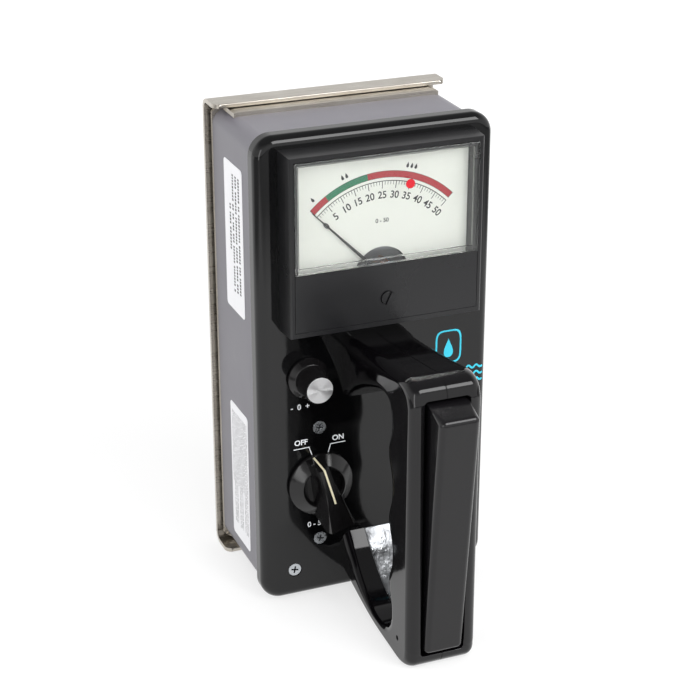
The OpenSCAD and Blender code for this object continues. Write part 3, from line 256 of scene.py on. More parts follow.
CAP_FACE_Y = -15.4
FINISH = {
    "cover": moulded_black("gloss_abs_cover", "070708", 0.05, 14.0, 0.02),
    "case": satin_black("satin_abs_case", "6a686f", 0.38),
    "steel_plate": brushed_stainless("brushed_stainless_plate", (1, 0, 0)),
    "steel_pan": brushed_stainless("brushed_stainless_pan", (1, 0, 0)),
    "zinc": plain_metal("zinc_plated_steel", "c3c7cb", 0.28),
    # Painted shade: a darker metal colour for the insides of the screws' cross recesses
    "painted_recess_shade": plain_metal("countersink_shadow", "5a5c60", 0.4),
    "meter": satin_black("satin_abs_meter", "101012", 0.3, 0.4, 0.008),
    "acrylic": clear_acrylic("clear_cast_acrylic"),
    "dial": coated("white_enamel_dial", "f3f3ec", 0.5, 0.015),
    "ink_black": coated("black_printing_ink", "17171a", 0.5),
    "ink_red": coated("red_printing_ink", "b8232f", 0.5),
    "ink_green": coated("green_printing_ink", "1e7a56", 0.5),
    "dot": coated("red_gloss_dot", "c4202c", 0.2),
    "needle": coated("matt_black_needle", "121214", 0.45),
    "copper": plain_metal("copper_wire_coil", "b06a42", 0.35),
    "bare": plain_metal("bare_nickel_steel", "9a9b9e", 0.35),
    "bronze": plain_metal("phosphor_bronze", "b18a52", 0.3),
    "knob": moulded_black("gloss_phenolic_knob", "0e0d0e", 0.12, 6.0, 0.01),
    "cap": spun_disc("spun_aluminium_cap", pt(ADJUST_AT[0], CAP_FACE_Y, ADJUST_AT[1]).tolist()),
    "ivory": coated("ivory_line_paint", "e9e2c2", 0.45),
    "handle": moulded_black("gloss_abs_handle", "080709", 0.07, 11.0, 0.03),
    "foil": crinkled_foil("crinkled_aluminium_tape"),
    "lever": moulded_black("gloss_abs_lever", "0f0e10", 0.13, 12.0, 0.02),
    "legend": coated("white_screen_print", "f4f7fa", 0.5),
    "teal": coated("teal_screen_print", "3cc8e1", 0.45),
    "label": coated("white_vinyl_label", "f4f4f7", 0.35, 0.02),
    "body": coated("dark_phenolic_part", "2c2d2a", 0.5),
    "board": coated("glass_epoxy_board", "2c5a39", 0.4),
    "nylon": coated("natural_nylon", "d8d4c4", 0.5),
    "cell": coated("shrink_sleeve_blue", "2a5f9c", 0.3),
    "red": coated("red_moulded_plunger", "b0302a", 0.4),
}


# ---------------------------------------------------------------- mesh helpers
def quads(m, n, wrap_u=False, wrap_v=False):
    """Faces of an m by n grid of points, closed round where asked."""
    i = np.arange(m if wrap_u else m - 1)[:, None]
    j = np.arange(n if wrap_v else n - 1)[None, :]
    i2, j2 = (i + 1) % m, (j + 1) % n
    return np.stack([i * n + j, i2 * n + j, i2 * n + j2, i * n + j2], -1).reshape(-1, 4)


def face_outward(mesh):
    """Turns every face of a closed mesh to look outward."""
    bm = bmesh.new()
    bm.from_mesh(mesh)
    bmesh.ops.recalc_face_normals(bm, faces=bm.faces)
    bm.to_mesh(mesh)
    bm.free()


def tube(m, n):
    """Faces of m rings of n points each, closed round and capped at both ends."""
    return quads(m, n, wrap_v=True).tolist() + [list(range(n)), list(range((m - 1) * n, m * n))]


def piece(name, points, faces, body, finish, slot, sharp=35, outward=True):
    """A mesh from arrays, smooth but for edges sharper than sharp degrees, on its body."""
    mesh = bpy.data.meshes.new(name)
    mesh.from_pydata(np.asarray(points).reshape(-1, 3).tolist(), [], [list(f) for f in faces])
    mesh.validate()
    if outward:
        face_outward(mesh)
    return finish_piece(name, mesh, body, finish, sharp)


def shade(mesh, sharp):
    """Smooth shading but for edges sharper than sharp degrees."""
    mesh.polygons.foreach_set("use_smooth", np.ones(len(mesh.polygons), bool))
    mesh.set_sharp_from_angle(angle=math.radians(sharp))


def finish_piece(name, mesh, body, finish, sharp=35):
    """Object for a mesh: shading, material and the body it rides on, if any."""
    shade(mesh, sharp)
    mesh.materials.clear()
    mesh.materials.append(FINISH[finish])
    obj = bpy.data.objects.new(name, mesh)
    bpy.context.scene.collection.objects.link(obj)
    if body:
        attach(obj, body)
    return obj


def skin(node, finish, sharp=35, bevel=0.0, segments=3, rides=True):
    """The CAD node's own shape as a merged copy: flat facets joined, curved ones shaded smooth,
    and edges rounded by bevel millimetres where the moulding has a radius too small for CAD.
    It rides on the node's body, unless rides is off."""
    bm = bmesh.new()
    bm.from_mesh(frame["nodes"][node].data)
    bmesh.ops.remove_doubles(bm, verts=bm.verts, dist=2e-6)
    bmesh.ops.dissolve_limit(
        bm, angle_limit=math.radians(0.4), verts=bm.verts, edges=bm.edges, use_dissolve_boundaries=False
    )
    mesh = bpy.data.meshes.new(node + "_skin")
    bm.to_mesh(mesh)
    bm.free()
    obj = finish_piece(node + "_skin", mesh, BODY_OF[node] if rides else None, finish, sharp)
    if bevel:
        rounding = obj.modifiers.new("small_radius", "BEVEL")
        rounding.width = bevel * MM
        rounding.segments = segments
        rounding.limit_method = "ANGLE"
        rounding.angle_limit = math.radians(max(sharp, 40))
        rounding.harden_normals = False
    weigh(obj)
    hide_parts(node)
    return obj


def rounded_outline(half_w, half_h, radius, mid_z, steps=14):
    """Closed outline of a rounded rectangle: corner arcs joined by straights, with as many
    points at every size, so that outlines of different size can be stacked."""
    a = np.linspace(0, math.pi / 2, steps + 1)
    corners = []
    for k, (sx, sz) in enumerate(((1, 1), (-1, 1), (-1, -1), (1, -1))):
        turn = a + k * math.pi / 2
        x = sx * (half_w - radius) + radius * np.cos(turn)
        z = sz * (half_h - radius) + radius * np.sin(turn)
        corners.append(np.stack([x, z], -1))
    return np.concatenate(corners) + [0, mid_z]


def stack(rings, closed=False):
    """Points and faces of a solid through rings, each an x-z outline and its y; capped at both
    ends, or closed into a hoop."""
    pts = np.stack([pt(outline[:, 0], y, outline[:, 1]) for outline, y in rings])
    m, n = pts.shape[:2]
    faces = quads(m, n, wrap_u=True, wrap_v=True).tolist() if closed else tube(m, n)
    return pts.reshape(-1, 3), faces


def turned(x, z, profile, steps=40):
    """Solid of revolution about a line along y through x, z; profile is a list of radius, y."""
    a = np.linspace(0, 2 * math.pi, steps + 1)[:-1]
    ring = np.stack([np.cos(a), np.sin(a)], -1)
    return stack([(ring * r + [x, z], y) for r, y in profile])


def together(solids):
    """Several separate solids as one set of points and faces."""
    starts = np.cumsum([0] + [len(points) for points, _ in solids])
    faces = [[i + int(start) for i in face] for start, (_, part) in zip(starts, solids) for face in part]
    return np.concatenate([points for points, _ in solids]), faces


def box_solid(low, high):
    """A plain box between two corners, as points and faces."""
    c = np.array([[low[0], high[0]], [low[1], high[1]], [low[2], high[2]]])
    i = np.array([[0, 0, 0], [1, 0, 0], [1, 1, 0], [0, 1, 0], [0, 0, 1], [1, 0, 1], [1, 1, 1], [0, 1, 1]])
    corners = c[np.arange(3), i]
    faces = [[0, 3, 2, 1], [4, 5, 6, 7], [0, 1, 5, 4], [1, 2, 6, 5], [2, 3, 7, 6], [3, 0, 4, 7]]
    return pt(corners[:, 0], corners[:, 1], corners[:, 2]), faces


def carve(obj, cutters, sharp=32):
    """Cuts the cutters out of obj for good and shades the result again."""
    obj.modifiers.clear()
    tools = []
    for k, (points, faces) in enumerate(cutters):
        mesh = bpy.data.meshes.new("cutter")
        mesh.from_pydata(np.asarray(points).reshape(-1, 3).tolist(), [], faces)
        face_outward(mesh)
        tool = bpy.data.objects.new(f"cutter_{k}", mesh)
        bpy.context.scene.collection.objects.link(tool)
        cut = obj.modifiers.new("cut", "BOOLEAN")
        cut.operation, cut.solver, cut.object = "DIFFERENCE", "EXACT", tool
        tools.append(tool)
    depsgraph = bpy.context.evaluated_depsgraph_get()
    result = bpy.data.meshes.new_from_object(obj.evaluated_get(depsgraph))
    obj.modifiers.clear()
    obj.data = result
    for tool in tools:
        bpy.data.objects.remove(tool)
    shade(result, sharp)
    weigh(obj)


def weigh(obj):
    """Lets large flat faces lead the smooth shading."""
    weights = obj.modifiers.new("flat_faces_lead", "WEIGHTED_NORMAL")
    weights.keep_sharp = True


def flat_print(name, shapes, place, body, finish, slot):
    """Printed shapes as one thin sheet: each shape is a list of 2-D points, place turns 2-D
    arrays into the frame."""
    counts = np.cumsum([0] + [len(s) for s in shapes])
    pts = np.concatenate([np.asarray(s, float) for s in shapes])
    faces = [list(range(a, b)) for a, b in zip(counts[:-1], counts[1:])]
    return piece(name, place(pts[:, 0], pts[:, 1]), faces, body, finish, slot, outward=False)


def arc_strip(r0, r1, a0, a1, steps, centre):
    """Quads of a ring sector between radii r0 and r1 from angle a0 to a1, degrees from up."""
    a = np.radians(np.linspace(a0, a1, steps + 1))
    inner = np.stack([np.sin(a), np.cos(a)], -1) * r0 + centre
    outer = np.stack([np.sin(a), np.cos(a)], -1) * r1 + centre
    return list(np.stack([inner[:-1], outer[:-1], outer[1:], inner[1:]], 1))


def ribbon(points, width):
    """Quads of a line of the given width through 2-D points, mitred where it bends: a corner's
    offset is the mean of its two sides' normals, lengthened by 1/cos of half the bend."""
    p = np.asarray(points, float)
    d = np.diff(p, axis=0)
    n = np.stack([-d[:, 1], d[:, 0]], -1) / np.linalg.norm(d, axis=1)[:, None]
    mean = np.concatenate([n[:1], n[:-1] + n[1:], n[-1:]])
    offset = mean / (mean * np.concatenate([n[:1], n])).sum(1)[:, None] * width / 2
    low, high = p - offset, p + offset
    return list(np.stack([low[:-1], low[1:], high[1:], high[:-1]], 1))


def glyphs(text, size, bold=0.02):
    """Faces of a centred text as lists of 2-D points, in units of size; bold widens each stroke
    by that share of the size."""
    curve = bpy.data.curves.new("figure", "FONT")
    curve.body, curve.size, curve.offset = text, size, bold * size
    curve.align_x = curve.align_y = "CENTER"
    obj = bpy.data.objects.new("figure", curve)
    bpy.context.scene.collection.objects.link(obj)
    mesh = bpy.data.meshes.new_from_object(obj)
    pts = np.array([v.co[:2] for v in mesh.vertices])
    shapes = [pts[list(f.vertices)] for f in mesh.polygons]
    bpy.data.objects.remove(obj)
    bpy.data.curves.remove(curve)
    bpy.data.meshes.remove(mesh)
    return shapes


def moved(shapes, x, z, angle=0.0, widen=1.0):
    """2-D shapes made wider by a factor, turned by angle degrees clockwise and put at x, z."""
    a = math.radians(angle)
    turn = np.array([[math.cos(a), -math.sin(a)], [math.sin(a), math.cos(a)]])
    return [(np.asarray(s) * [widen, 1]) @ turn + [x, z] for s in shapes]


# ---------------------------------------------------------------- shell
COVER_HALF = np.array([55.1, 110.6])
CASE_HALF = np.array([53.3, 107.4])
MID_Z = 111.5
COVER_R, CASE_R = 9.5, 7.5


def front_cover():
    """Moulded cover: a slab whose rim turns back over the case in a quarter circle of 4.5 mm
    and ends in a lip with both edges rounded. A quarter circle of radius r is drawn in by
    r (1 - cos a) while its depth changes by r sin a."""
    depth, wall, roll, edge, clear = 9.3, 3.0, 4.5, 0.7, 0.1

    def outer(inset):
        return rounded_outline(*(COVER_HALF - inset), COVER_R - inset, MID_Z)

    def inner(grow):
        return rounded_outline(*(CASE_HALF + clear + grow), CASE_R + clear + grow, MID_Z)

    a = np.linspace(0, math.pi / 2, 6)
    bend = np.linspace(0, math.pi / 2, 15)
    rings = [(inner(0), wall)]
    rings += [(inner(edge * (1 - math.cos(t))), depth - edge + edge * math.sin(t)) for t in a]
    rings += [(outer(edge * (1 - math.cos(t))), depth - edge + edge * math.sin(t)) for t in a[::-1]]
    rings += [(outer(roll * (1 - math.cos(t))), roll * (1 - math.sin(t))) for t in bend]
    cover = piece("front_cover_shell", *stack(rings), "housing", "cover", SLOT_OF["front_cover"], 30)

    def bore(x, z, radius, steps):
        return turned(x, z, [(radius, -1), (radius, wall + 1)], steps)

    # The meter's barrel and studs, the controls' bushes, the handle's screws, the panel's screws
    holes = [bore(0, 170.1, 31.9, 96)]
    holes += [bore(x, z, 2.2, 24) for x in (-37.5, 37.5) for z in (141.6, 210.1)]
    holes += [bore(x, z, 4.8, 40) for x, z in (ADJUST_AT, SELECTOR_AT)]
    holes += [bore(x, z, 1.7, 24) for x in (-9.5, 9.5) for z in (16.5, 115)]
    sink = [(3.4, -1), (3.4, 0.5), (3.15, 0.52), (1.7, 1.97), (1.7, wall + 1)]
    holes += [turned(x, z, sink) for x, z in SCREWS]
    carve(cover, [together(holes)], 30)
    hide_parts("front_cover")


def case_body():
    """The box with its front rim rounded off where it goes under the cover's lip, which leaves
    a shadow line all round."""
    case = skin("case_body", "case", sharp=30)
    # How far the groove's edge lies outside the case's side, and its y
    groove = [
        (0.6, 8.8), (0.0, 8.8), (-0.7, 9.1), (-0.8, 9.7),
        (-0.62, 10.2), (-0.3, 10.55), (0.0, 10.65), (0.6, 10.65),
    ]
    rings = [(rounded_outline(*(CASE_HALF + out), CASE_R + out, MID_Z, 24), y) for out, y in groove]
    carve(case, [stack(rings, closed=True)], 30)


def rear_pan():
    """Sheet pan behind the case: its folded rims along the top and the bottom stop short of the
    corners, where the case's own corner shows."""
    pan = skin("rear_pan", "steel_pan", sharp=30)
    rim_end, beyond, front, back, height = 48.6, 60, 40, 60.9, 12
    ends = [
        box_solid((x0, front, low), (x1, back, low + height))
        for x0, x1 in ((-beyond, -rim_end), (rim_end, beyond))
        for low in (0.5, 210.5)
    ]
    carve(pan, [together(ends)], 30)


front_cover()
case_body()
rear_pan()
skin("sensor_plate", "steel_plate", sharp=30)
skin("plate_spacers", "nylon")


def darken_recess(obj):
    """Paints shade on the faces inside a screw head's cross, as a darker metal colour: those up to 2 mm
    from the screw's axis and between 0.05 and 1.6 mm below its face."""
    obj.data.materials.append(FINISH["painted_recess_shade"])
    head_face = 0.2 + FACE_Y
    for face in obj.data.polygons:
        x, y, z = face.center / MM
        reach = min(math.hypot(x - sx, z - sz) for sx, sz in SCREWS)
        if reach < 2.0 and head_face + 0.05 < y < head_face + 1.6:
            face.material_index = 1


for node in ("corner_screws", "panel_screws"):
    darken_recess(skin(node, "zinc", bevel=0.08, segments=2))

# ---------------------------------------------------------------- panel meter
DIAL_Y = -4.6
PIVOT = np.array([0.0, 157.0])
DIAL_SPAN = 90
DIAL_FULL = 50
# Radii about the pivot: numbers, inner ends of long and short ticks, tick line, band, drops
NUMBER_R, LONG_R, SHORT_R, TICK_R = 36.0, 39.0, 40.6, 42.3
BAND_IN, BAND_OUT, DROP_R = 43.9, 46.6, 49.6
skin("meter_housing", "meter", bevel=0.5)
skin("meter_window", "acrylic", bevel=0.25, segments=2)
skin("meter_lower_panel", "meter", bevel=0.35)
skin("zero_screw", "meter", bevel=0.15, segments=2)
skin("dial_plate", "dial")
skin("pointer", "needle")
skin("pointer_coil", "copper")
skin("meter_movement", "bare", bevel=0.15, segments=2)
skin("set_dot", "dot")


def on_dial(x, z):
    """Printed on the dial plate, 0.03 mm in front of it."""
    return pt(x, DIAL_Y - 0.03, z)


def on_dial_over(x, z):
    """Printed over the first colour, 0.05 mm in front of the dial plate."""
    return pt(x, DIAL_Y - 0.05, z)


def dial_angle(value):
    """Degrees from up of a reading: the scale runs evenly over the needle's swing."""
    return (value / DIAL_FULL - 0.5) * DIAL_SPAN


def on_arc(radius, angle):
    """Place on the dial at a radius about the pivot and an angle in degrees from up."""
    a = math.radians(angle)
    return PIVOT + radius * np.array([math.sin(a), math.cos(a)])


def dial_prints():
    """Scale of fifty divisions, its coloured band with a thin outline, and its numbers."""
    slot = "dial_white"
    ticks = []
    for value in range(DIAL_FULL + 1):
        a = dial_angle(value)
        inner, width = (LONG_R, 0.32) if value % 5 == 0 else (SHORT_R, 0.22)
        ticks += ribbon([on_arc(inner, a), on_arc(TICK_R, a)], width)
    ticks += arc_strip(TICK_R - 0.2, TICK_R + 0.15, -45, 45, 60, PIVOT)
    flat_print("dial_ticks", ticks, on_dial, "housing", "ink_black", slot)
    for name, finish, a0, a1 in (
        ("dial_band_low", "ink_red", -44.7, -34.0),
        ("dial_band_middle", "ink_green", -34.0, -8.6),
        ("dial_band_high", "ink_red", -8.6, 44.8),
    ):
        band = arc_strip(BAND_IN, BAND_OUT, a0, a1, 30, PIVOT)
        flat_print(name, band, on_dial, "housing", finish, slot)
    line = 0.16
    outline = arc_strip(BAND_IN - line, BAND_IN, -44.9, 45, 60, PIVOT)
    outline += arc_strip(BAND_OUT, BAND_OUT + line, -44.9, 45, 60, PIVOT)
    for a0, a1 in ((-44.9, -44.6), (44.7, 45)):
        outline += arc_strip(BAND_IN, BAND_OUT, a0, a1, 1, PIVOT)
    flat_print("dial_band_outline", outline, on_dial_over, "housing", "ink_black", slot)
    figures = []
    for value in range(0, DIAL_FULL + 1, 5):
        a = dial_angle(value)
        where = on_arc(NUMBER_R, a)
        figures += moved(glyphs(str(value), 4.5, 0.018), *where, angle=a, widen=0.92)
    flat_print("dial_numbers", figures, on_dial, "housing", "ink_black", slot)


def drop(size):
    """Outline of a water drop: x = sin(t) sin(t/2)^1.6, z = cos(t), t from 0 to a full turn."""
    t = np.linspace(0, 2 * math.pi, 25)[:-1]
    return [np.stack([np.sin(t) * np.abs(np.sin(t / 2)) ** 1.6 * 0.72, np.cos(t)], -1) * size]


def dial_marks():
    """Small drops above the band, one to three for dry to wet, and the span as plain numbers."""
    marks = []
    for angle, count in ((-40, 1), (-20.5, 2), (16, 3)):
        for k in range(count):
            a = angle + (k - (count - 1) / 2) * 2.3
            marks += moved(drop(1.25), *on_arc(DROP_R, a), a)
    marks += moved(glyphs("0 - 50", 2.6), 0.0, 181.6)
    flat_print("dial_marks", marks, on_dial, "housing", "ink_black", "dial_white")


dial_prints()
dial_marks()

# ---------------------------------------------------------------- controls
skin("adjust_knob", "knob", sharp=28)
skin("adjust_cap", "cap", bevel=0.12, segments=2)
skin("adjust_nut", "zinc")
skin("selector_knob", "knob", sharp=30, bevel=0.22, segments=3)
skin("selector_line", "ivory")
skin("selector_nut", "zinc")


def on_panel(x, z):
    """Printed on the front cover, 0.02 mm proud of it."""
    return pt(x, -0.02, z)


def panel_legend():
    """White print: leaders to the selector's two positions, their names, and plain marks."""
    lines = ribbon([(-39.5, 76.4), (-32.2, 76.6), (-30.7, 72.2)], 0.42)
    lines += ribbon([(-14.7, 76.5), (-21.8, 76.4), (-23.5, 71.0)], 0.42)
    lines += moved(glyphs("OFF", 3.6), -36.0, 79.4)
    lines += moved(glyphs("ON", 3.6), -18.2, 79.0)
    lines += moved(glyphs("0 - 50", 3.6), -29.0, 37.2)
    lines += moved(glyphs("-  0  +", 3.6), -36.2, 97.0)
    flat_print("panel_legend", lines, on_panel, "housing", "legend", "cover_plastic")


def emblem_marks():
    """A plain drop in a frame, and three wavy lines beside it. The frame is a superellipse,
    x = cos(t)^0.45, z = sin(t)^0.45 with their signs kept."""
    t = np.linspace(0, 2 * math.pi, 65)[:-1]
    circle = np.stack([np.cos(t), np.sin(t)], -1)
    square = np.sign(circle) * np.abs(circle) ** 0.45
    centre = np.array([35.5, 114.6])
    outer, inner = square * [6.4, 8.2] + centre, square * [5.6, 7.4] + centre
    frame_quads = list(np.stack([outer, np.roll(outer, -1, 0), np.roll(inner, -1, 0), inner], 1))
    shapes = frame_quads + moved(drop(4.6), 35.5, 114.0)
    for k in range(3):
        x = np.linspace(44.8, 52.6, 14)
        shapes += ribbon(np.stack([x, 96.4 + 3.2 * k + 0.7 * np.sin((x - 44.8) * 1.6)], -1), 0.9)
    flat_print("panel_emblem", shapes, on_panel, "housing", "teal", "cover_plastic")


panel_legend()
emblem_marks()


# ---------------------------------------------------------------- side labels
def label_print(name, node, rows, height, seed):
    """Greeked print on a label: rows of small blocks, in groups as long as words, that run down
    the case's side; rows gives each row's place across the label and its two ends, as shares."""
    low, high = (np.array(c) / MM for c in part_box(node))
    gen = np.random.default_rng(seed)
    shapes = []
    for across, start, end in rows:
        y = low[1] + across * (high[1] - low[1])
        y0, y1 = y - height / 2, y + height / 2
        z, stop = (high[2] - share * (high[2] - low[2]) for share in (start, end))
        while z > stop:
            for _ in range(gen.integers(2, 10)):
                w = height * gen.uniform(0.45, 0.7)
                if z - w < stop:
                    break
                shapes.append([(y0, z), (y1, z), (y1, z - w), (y0, z - w)])
                z -= w + 0.28 * height
            z -= 0.65 * height
            if z - height < stop:
                break
    x = low[0] - 0.02

    def on_label(a, b):
        return np.stack([np.full_like(a, x), a, b], -1) * MM

    flat_print(name, shapes, on_label, "housing", "ink_black", "label_stock")


skin("side_label_upper", "label")
skin("side_label_lower", "label")
large_rows = [(0.2, 0.07, 0.86), (0.36, 0.07, 0.9), (0.52, 0.07, 0.88), (0.68, 0.28, 0.62)]
small_rows = [(0.1 + 0.072 * k, 0.06, 0.9 - 0.3 * (k % 4 == 3)) for k in range(12)]
label_print("upper_label_rules", "side_label_upper", large_rows, 1.7, 3)
label_print("lower_label_rules", "side_label_lower", small_rows, 0.6, 4)

# ---------------------------------------------------------------- handle
HANDLE_HALF = 16.2
# inner y, inner z, outer y, outer z, inner edge radius, outer edge radius of each station
UPPER_ARM = [
    (0, 98.2, 0, 127.6, 5, 5), (-4, 102.1, -4, 127.7, 5, 5), (-9.5, 105.6, -10, 128, 6, 6),
    (-20, 110.9, -22, 129.2, 6, 6), (-34, 116.2, -38, 131.3, 6, 6), (-43, 117.8, -54, 133.5, 7, 6),
    (-48.4, 115.8, -66.5, 135.1, 8, 5.5), (-50.4, 111.8, -73.4, 132.6, 8, 5),
]
GRIP = [(-50.7, 107, -76, 126.5, 8.5, 4.5), (-51.6, 19, -76, 8, 8.5, 4.5)]
LOWER_ARM = [
    (-51, 13.5, -75, 2.8, 7, 4.5), (-48.6, 8.9, -70, 0, 5, 4.2), (-44.3, 6.6, -57, 0.9, 2.6, 3),
    (-32.4, 7.9, -38, 2.1, 2.4, 2.6), (-21.1, 12.7, -24, 4.1, 3, 3), (-11.6, 19.1, -12, 6.5, 3.5, 3.5),
    (-5.6, 23.8, -5, 7.9, 4, 4), (0, 29.9, 0, 9, 4, 4),
]
RIDGE_TOP, RIDGE_PITCH, RIDGE_HEIGHT = 93.0, 30.0, 3.9
SLOT_HALF, SLOT_LOW, SLOT_HIGH, SLOT_BACK = 10.0, 6.4, 127.7, -60.5


def handle_rail(arm_steps=10, grip_steps=160):
    """Stations along the loop. Arms follow Catmull-Rom curves through their stations,
    0.5 (2b + (c-a)t + (2a-5b+4c-d)t^2 + (3b-a-3c+d)t^3); the grip is straight, and its inner
    side rises in finger ridges h ((1 + cos(2 pi (z - top)/pitch))/2)^1.5."""
    s = np.array(UPPER_ARM + GRIP + LOWER_ARM, float)
    grip = len(UPPER_ARM)
    out = []
    for i in range(len(s) - 1):
        t = np.linspace(0, 1, (grip_steps if i == grip else arm_steps) + 1)[:-1, None]
        b, c = s[i], s[i + 1]
        if i == grip:
            out.append(b + (c - b) * t)
            continue
        a = 2 * b - c if i == grip + 1 else s[max(i - 1, 0)]
        d = c if i + 1 == grip else s[min(i + 2, len(s) - 1)]
        out.append(
            0.5 * (2 * b + (c - a) * t + (2 * a - 5 * b + 4 * c - d) * t**2 + (3 * b - a - 3 * c + d) * t**3)
        )
    rail = np.concatenate(out + [s[-1:]])
    z = rail[:, 1]
    wave = ((1 + np.cos(2 * math.pi * (z - RIDGE_TOP) / RIDGE_PITCH)) / 2) ** 1.5
    fade = np.clip((z - 20) / 16, 0, 1) * (z < RIDGE_TOP + RIDGE_PITCH / 2) * (rail[:, 0] < -45)
    rail[:, 0] += RIDGE_HEIGHT * wave * fade
    return rail


def handle_half(side, rail, edge_steps=12):
    """One moulded half: each station's section is half a rounded bar, its seam edge eased by
    0.3 mm so that the joint line shows. Points are a quarter circle at either outer corner."""
    inner, outer = rail[:, 0:2], rail[:, 2:4]
    depth = np.linalg.norm(outer - inner, axis=1)[:, None]
    along = (outer - inner) / depth
    ri = np.minimum(rail[:, 4:5], depth * 0.45)
    ro = np.minimum(rail[:, 5:6], depth * 0.45)
    a = np.linspace(0, math.pi / 2, edge_steps + 1)[None, :]
    ones = np.ones_like(depth)
    # The eased seam edge: how far its points lie from the seam and from the surface
    seam_x = ones * [[0.04, 0.1, 0.34]]
    seam_d = ones * [[0.36, 0.1, 0.0]]
    x = np.concatenate(
        [seam_x, HANDLE_HALF - ri + ri * np.sin(a), HANDLE_HALF - ro + ro * np.cos(a), seam_x[:, ::-1]], 1
    )
    d = np.concatenate([seam_d, ri - ri * np.cos(a), depth - ro + ro * np.sin(a), depth - seam_d[:, ::-1]], 1)
    yz = inner[:, None, :] + along[:, None, :] * d[:, :, None]
    pts = pt(side * x, yz[..., 0], yz[..., 1])
    name = "handle_left_shell" if side < 0 else "handle_right_shell"
    return piece(name, pts, tube(*pts.shape[:2]), "housing", "handle", "handle_plastic", 32)


def slot_cutter():
    """The lever's slot as a solid: a rectangle with 1.5 mm corners that flares by a quarter
    circle of 0.8 mm where it meets the front of the grip."""
    lip, corner, front = 0.8, 1.5, -76.0
    t = np.linspace(0, math.pi / 2, 7)
    y = np.concatenate([[SLOT_BACK], front + lip - lip * np.sin(t), [front - 12]])
    grow = np.concatenate([[0.0], lip - lip * np.cos(t), [lip]])
    a = np.linspace(0, math.pi / 2, 5)
    unit = np.concatenate([np.stack([np.cos(a + q), np.sin(a + q)], -1) for q in np.arange(4) * math.pi / 2])
    signs = np.repeat([[1, 1], [-1, 1], [-1, -1], [1, -1]], 5, axis=0)
    mid = np.array([0, (SLOT_LOW + SLOT_HIGH) / 2])
    half = np.array([SLOT_HALF, (SLOT_HIGH - SLOT_LOW) / 2])
    ring = mid + signs * (half - corner) + unit * corner
    pts = ring[None] + signs[None] * grow[:, None, None]
    full = pt(pts[..., 0], y[:, None], pts[..., 1])
    return full, tube(*full.shape[:2])


def pin_bore():
    """Bore for the lever's hinge pin, straight across both halves."""
    y, z, radius, past = -64.1, 10.7, 1.2, 20
    a = np.linspace(0, 2 * math.pi, 25)[:-1]
    pts = np.stack([pt(x, y + radius * np.cos(a), z + radius * np.sin(a)) for x in (-past, past)])
    return pts.reshape(-1, 3), tube(*pts.shape[:2])


def handle():
    """Both halves with the lever's slot, the room for its toe, the switch's pocket and the
    hinge pin's bore cut out."""
    rail = handle_rail()
    toe_room = box_solid((-10, -71.5, 123.7), (10, -57.18, 130.9))
    switch_pocket = box_solid((-3.2, -61.5, 20.5), (3.2, -54.5, 33.5))
    cutters = [slot_cutter(), toe_room, switch_pocket, pin_bore()]
    for side, node in ((-1, "handle_left"), (1, "handle_right")):
        half = handle_half(side, rail)
        carve(half, cutters)
        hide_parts(node)


handle()
skin("squeeze_lever", "lever", sharp=30, bevel=0.6, segments=4)
skin("lever_pin", "zinc", bevel=0.1)


def foil_strip():
    """Tape along the inner side of the lower arm, 12.7 mm wide, with creases as small waves
    added to its height, and a 0.3 mm wall."""
    rail = handle_rail()
    low = rail[(rail[:, 0] > -40.5) & (rail[:, 1] < 40)][:, :2]
    t = np.linspace(0, len(low) - 1, 110)
    y, z = (np.interp(t, np.arange(len(low)), low[:, k]) for k in (0, 1))
    tangent = np.gradient(np.stack([y, z], -1), axis=0)
    normal = np.stack([-tangent[:, 1], tangent[:, 0]], -1) / np.linalg.norm(tangent, axis=1)[:, None]
    x = np.linspace(-5.2, 7.5, 40)
    under, top, edge, crease = 0.02, 0.32, 0.2, 0.012
    lift = top + crease * rng.standard_normal((len(t), len(x)))
    lift[:, [0, -1]] = edge
    lift[[0, -1], :] = edge
    top_y = y[:, None] + normal[:, 0:1] * lift
    top_z = z[:, None] + normal[:, 1:2] * lift
    under_y = y[:, None] + normal[:, 0:1] * under + 0 * lift
    under_z = z[:, None] + normal[:, 1:2] * under + 0 * lift
    ring_x = np.concatenate([np.broadcast_to(x, lift.shape), np.broadcast_to(x[::-1], lift.shape)], 1)
    ring_y = np.concatenate([top_y, under_y[:, ::-1]], 1)
    ring_z = np.concatenate([top_z, under_z[:, ::-1]], 1)
    pts = pt(ring_x, np.minimum(ring_y, 0.0), ring_z)
    strip = piece("foil_tape", pts, tube(*pts.shape[:2]), "housing", "foil", "foil_strip", 50)
    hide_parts("handle_foil")


foil_strip()

# ---------------------------------------------------------------- pieces that keep their CAD mesh
for node, finish in (
    ("plate_studs", "zinc"), ("hairspring", "bronze"), ("meter_studs", "bronze"), ("meter_nuts", "bronze"),
    ("adjust_shaft", "bare"), ("adjust_pot", "body"), ("selector_shaft", "bare"), ("rotary_switch", "body"),
    ("handle_screws", "zinc"), ("trigger_switch", "body"), ("switch_plunger", "red"),
    ("board_standoffs", "zinc"), ("circuit_board", "board"), ("board_parts", "body"),
    ("board_screws", "zinc"), ("battery_cells", "cell"), ("battery_clamp", "zinc"), ("clamp_screws", "zinc"),
):
    for holder in frame["nodes"][node].material_slots:
        holder.material = FINISH[finish]


def lever_spring():
    """The coil, fixed in place with its rear end on the grip's seat: it rides on no body."""
    coil = skin("lever_spring", "zinc", sharp=60, rides=False)
    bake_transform(coil)


lever_spring()
skin("charge_jack", "body", bevel=0.2)
skin("jack_nut", "zinc", bevel=0.15)


# ---------------------------------------------------------------- floor, light and camera
def ray_is(tree, *kinds):
    """1 for rays of any of the given kinds, else 0."""
    path = add(tree, "ShaderNodeLightPath")
    out = path.outputs[kinds[0]]
    for kind in kinds[1:]:
        out = add(tree, "ShaderNodeMath", {0: out, 1: path.outputs[kind]}, operation="MAXIMUM").outputs[0]
    return out


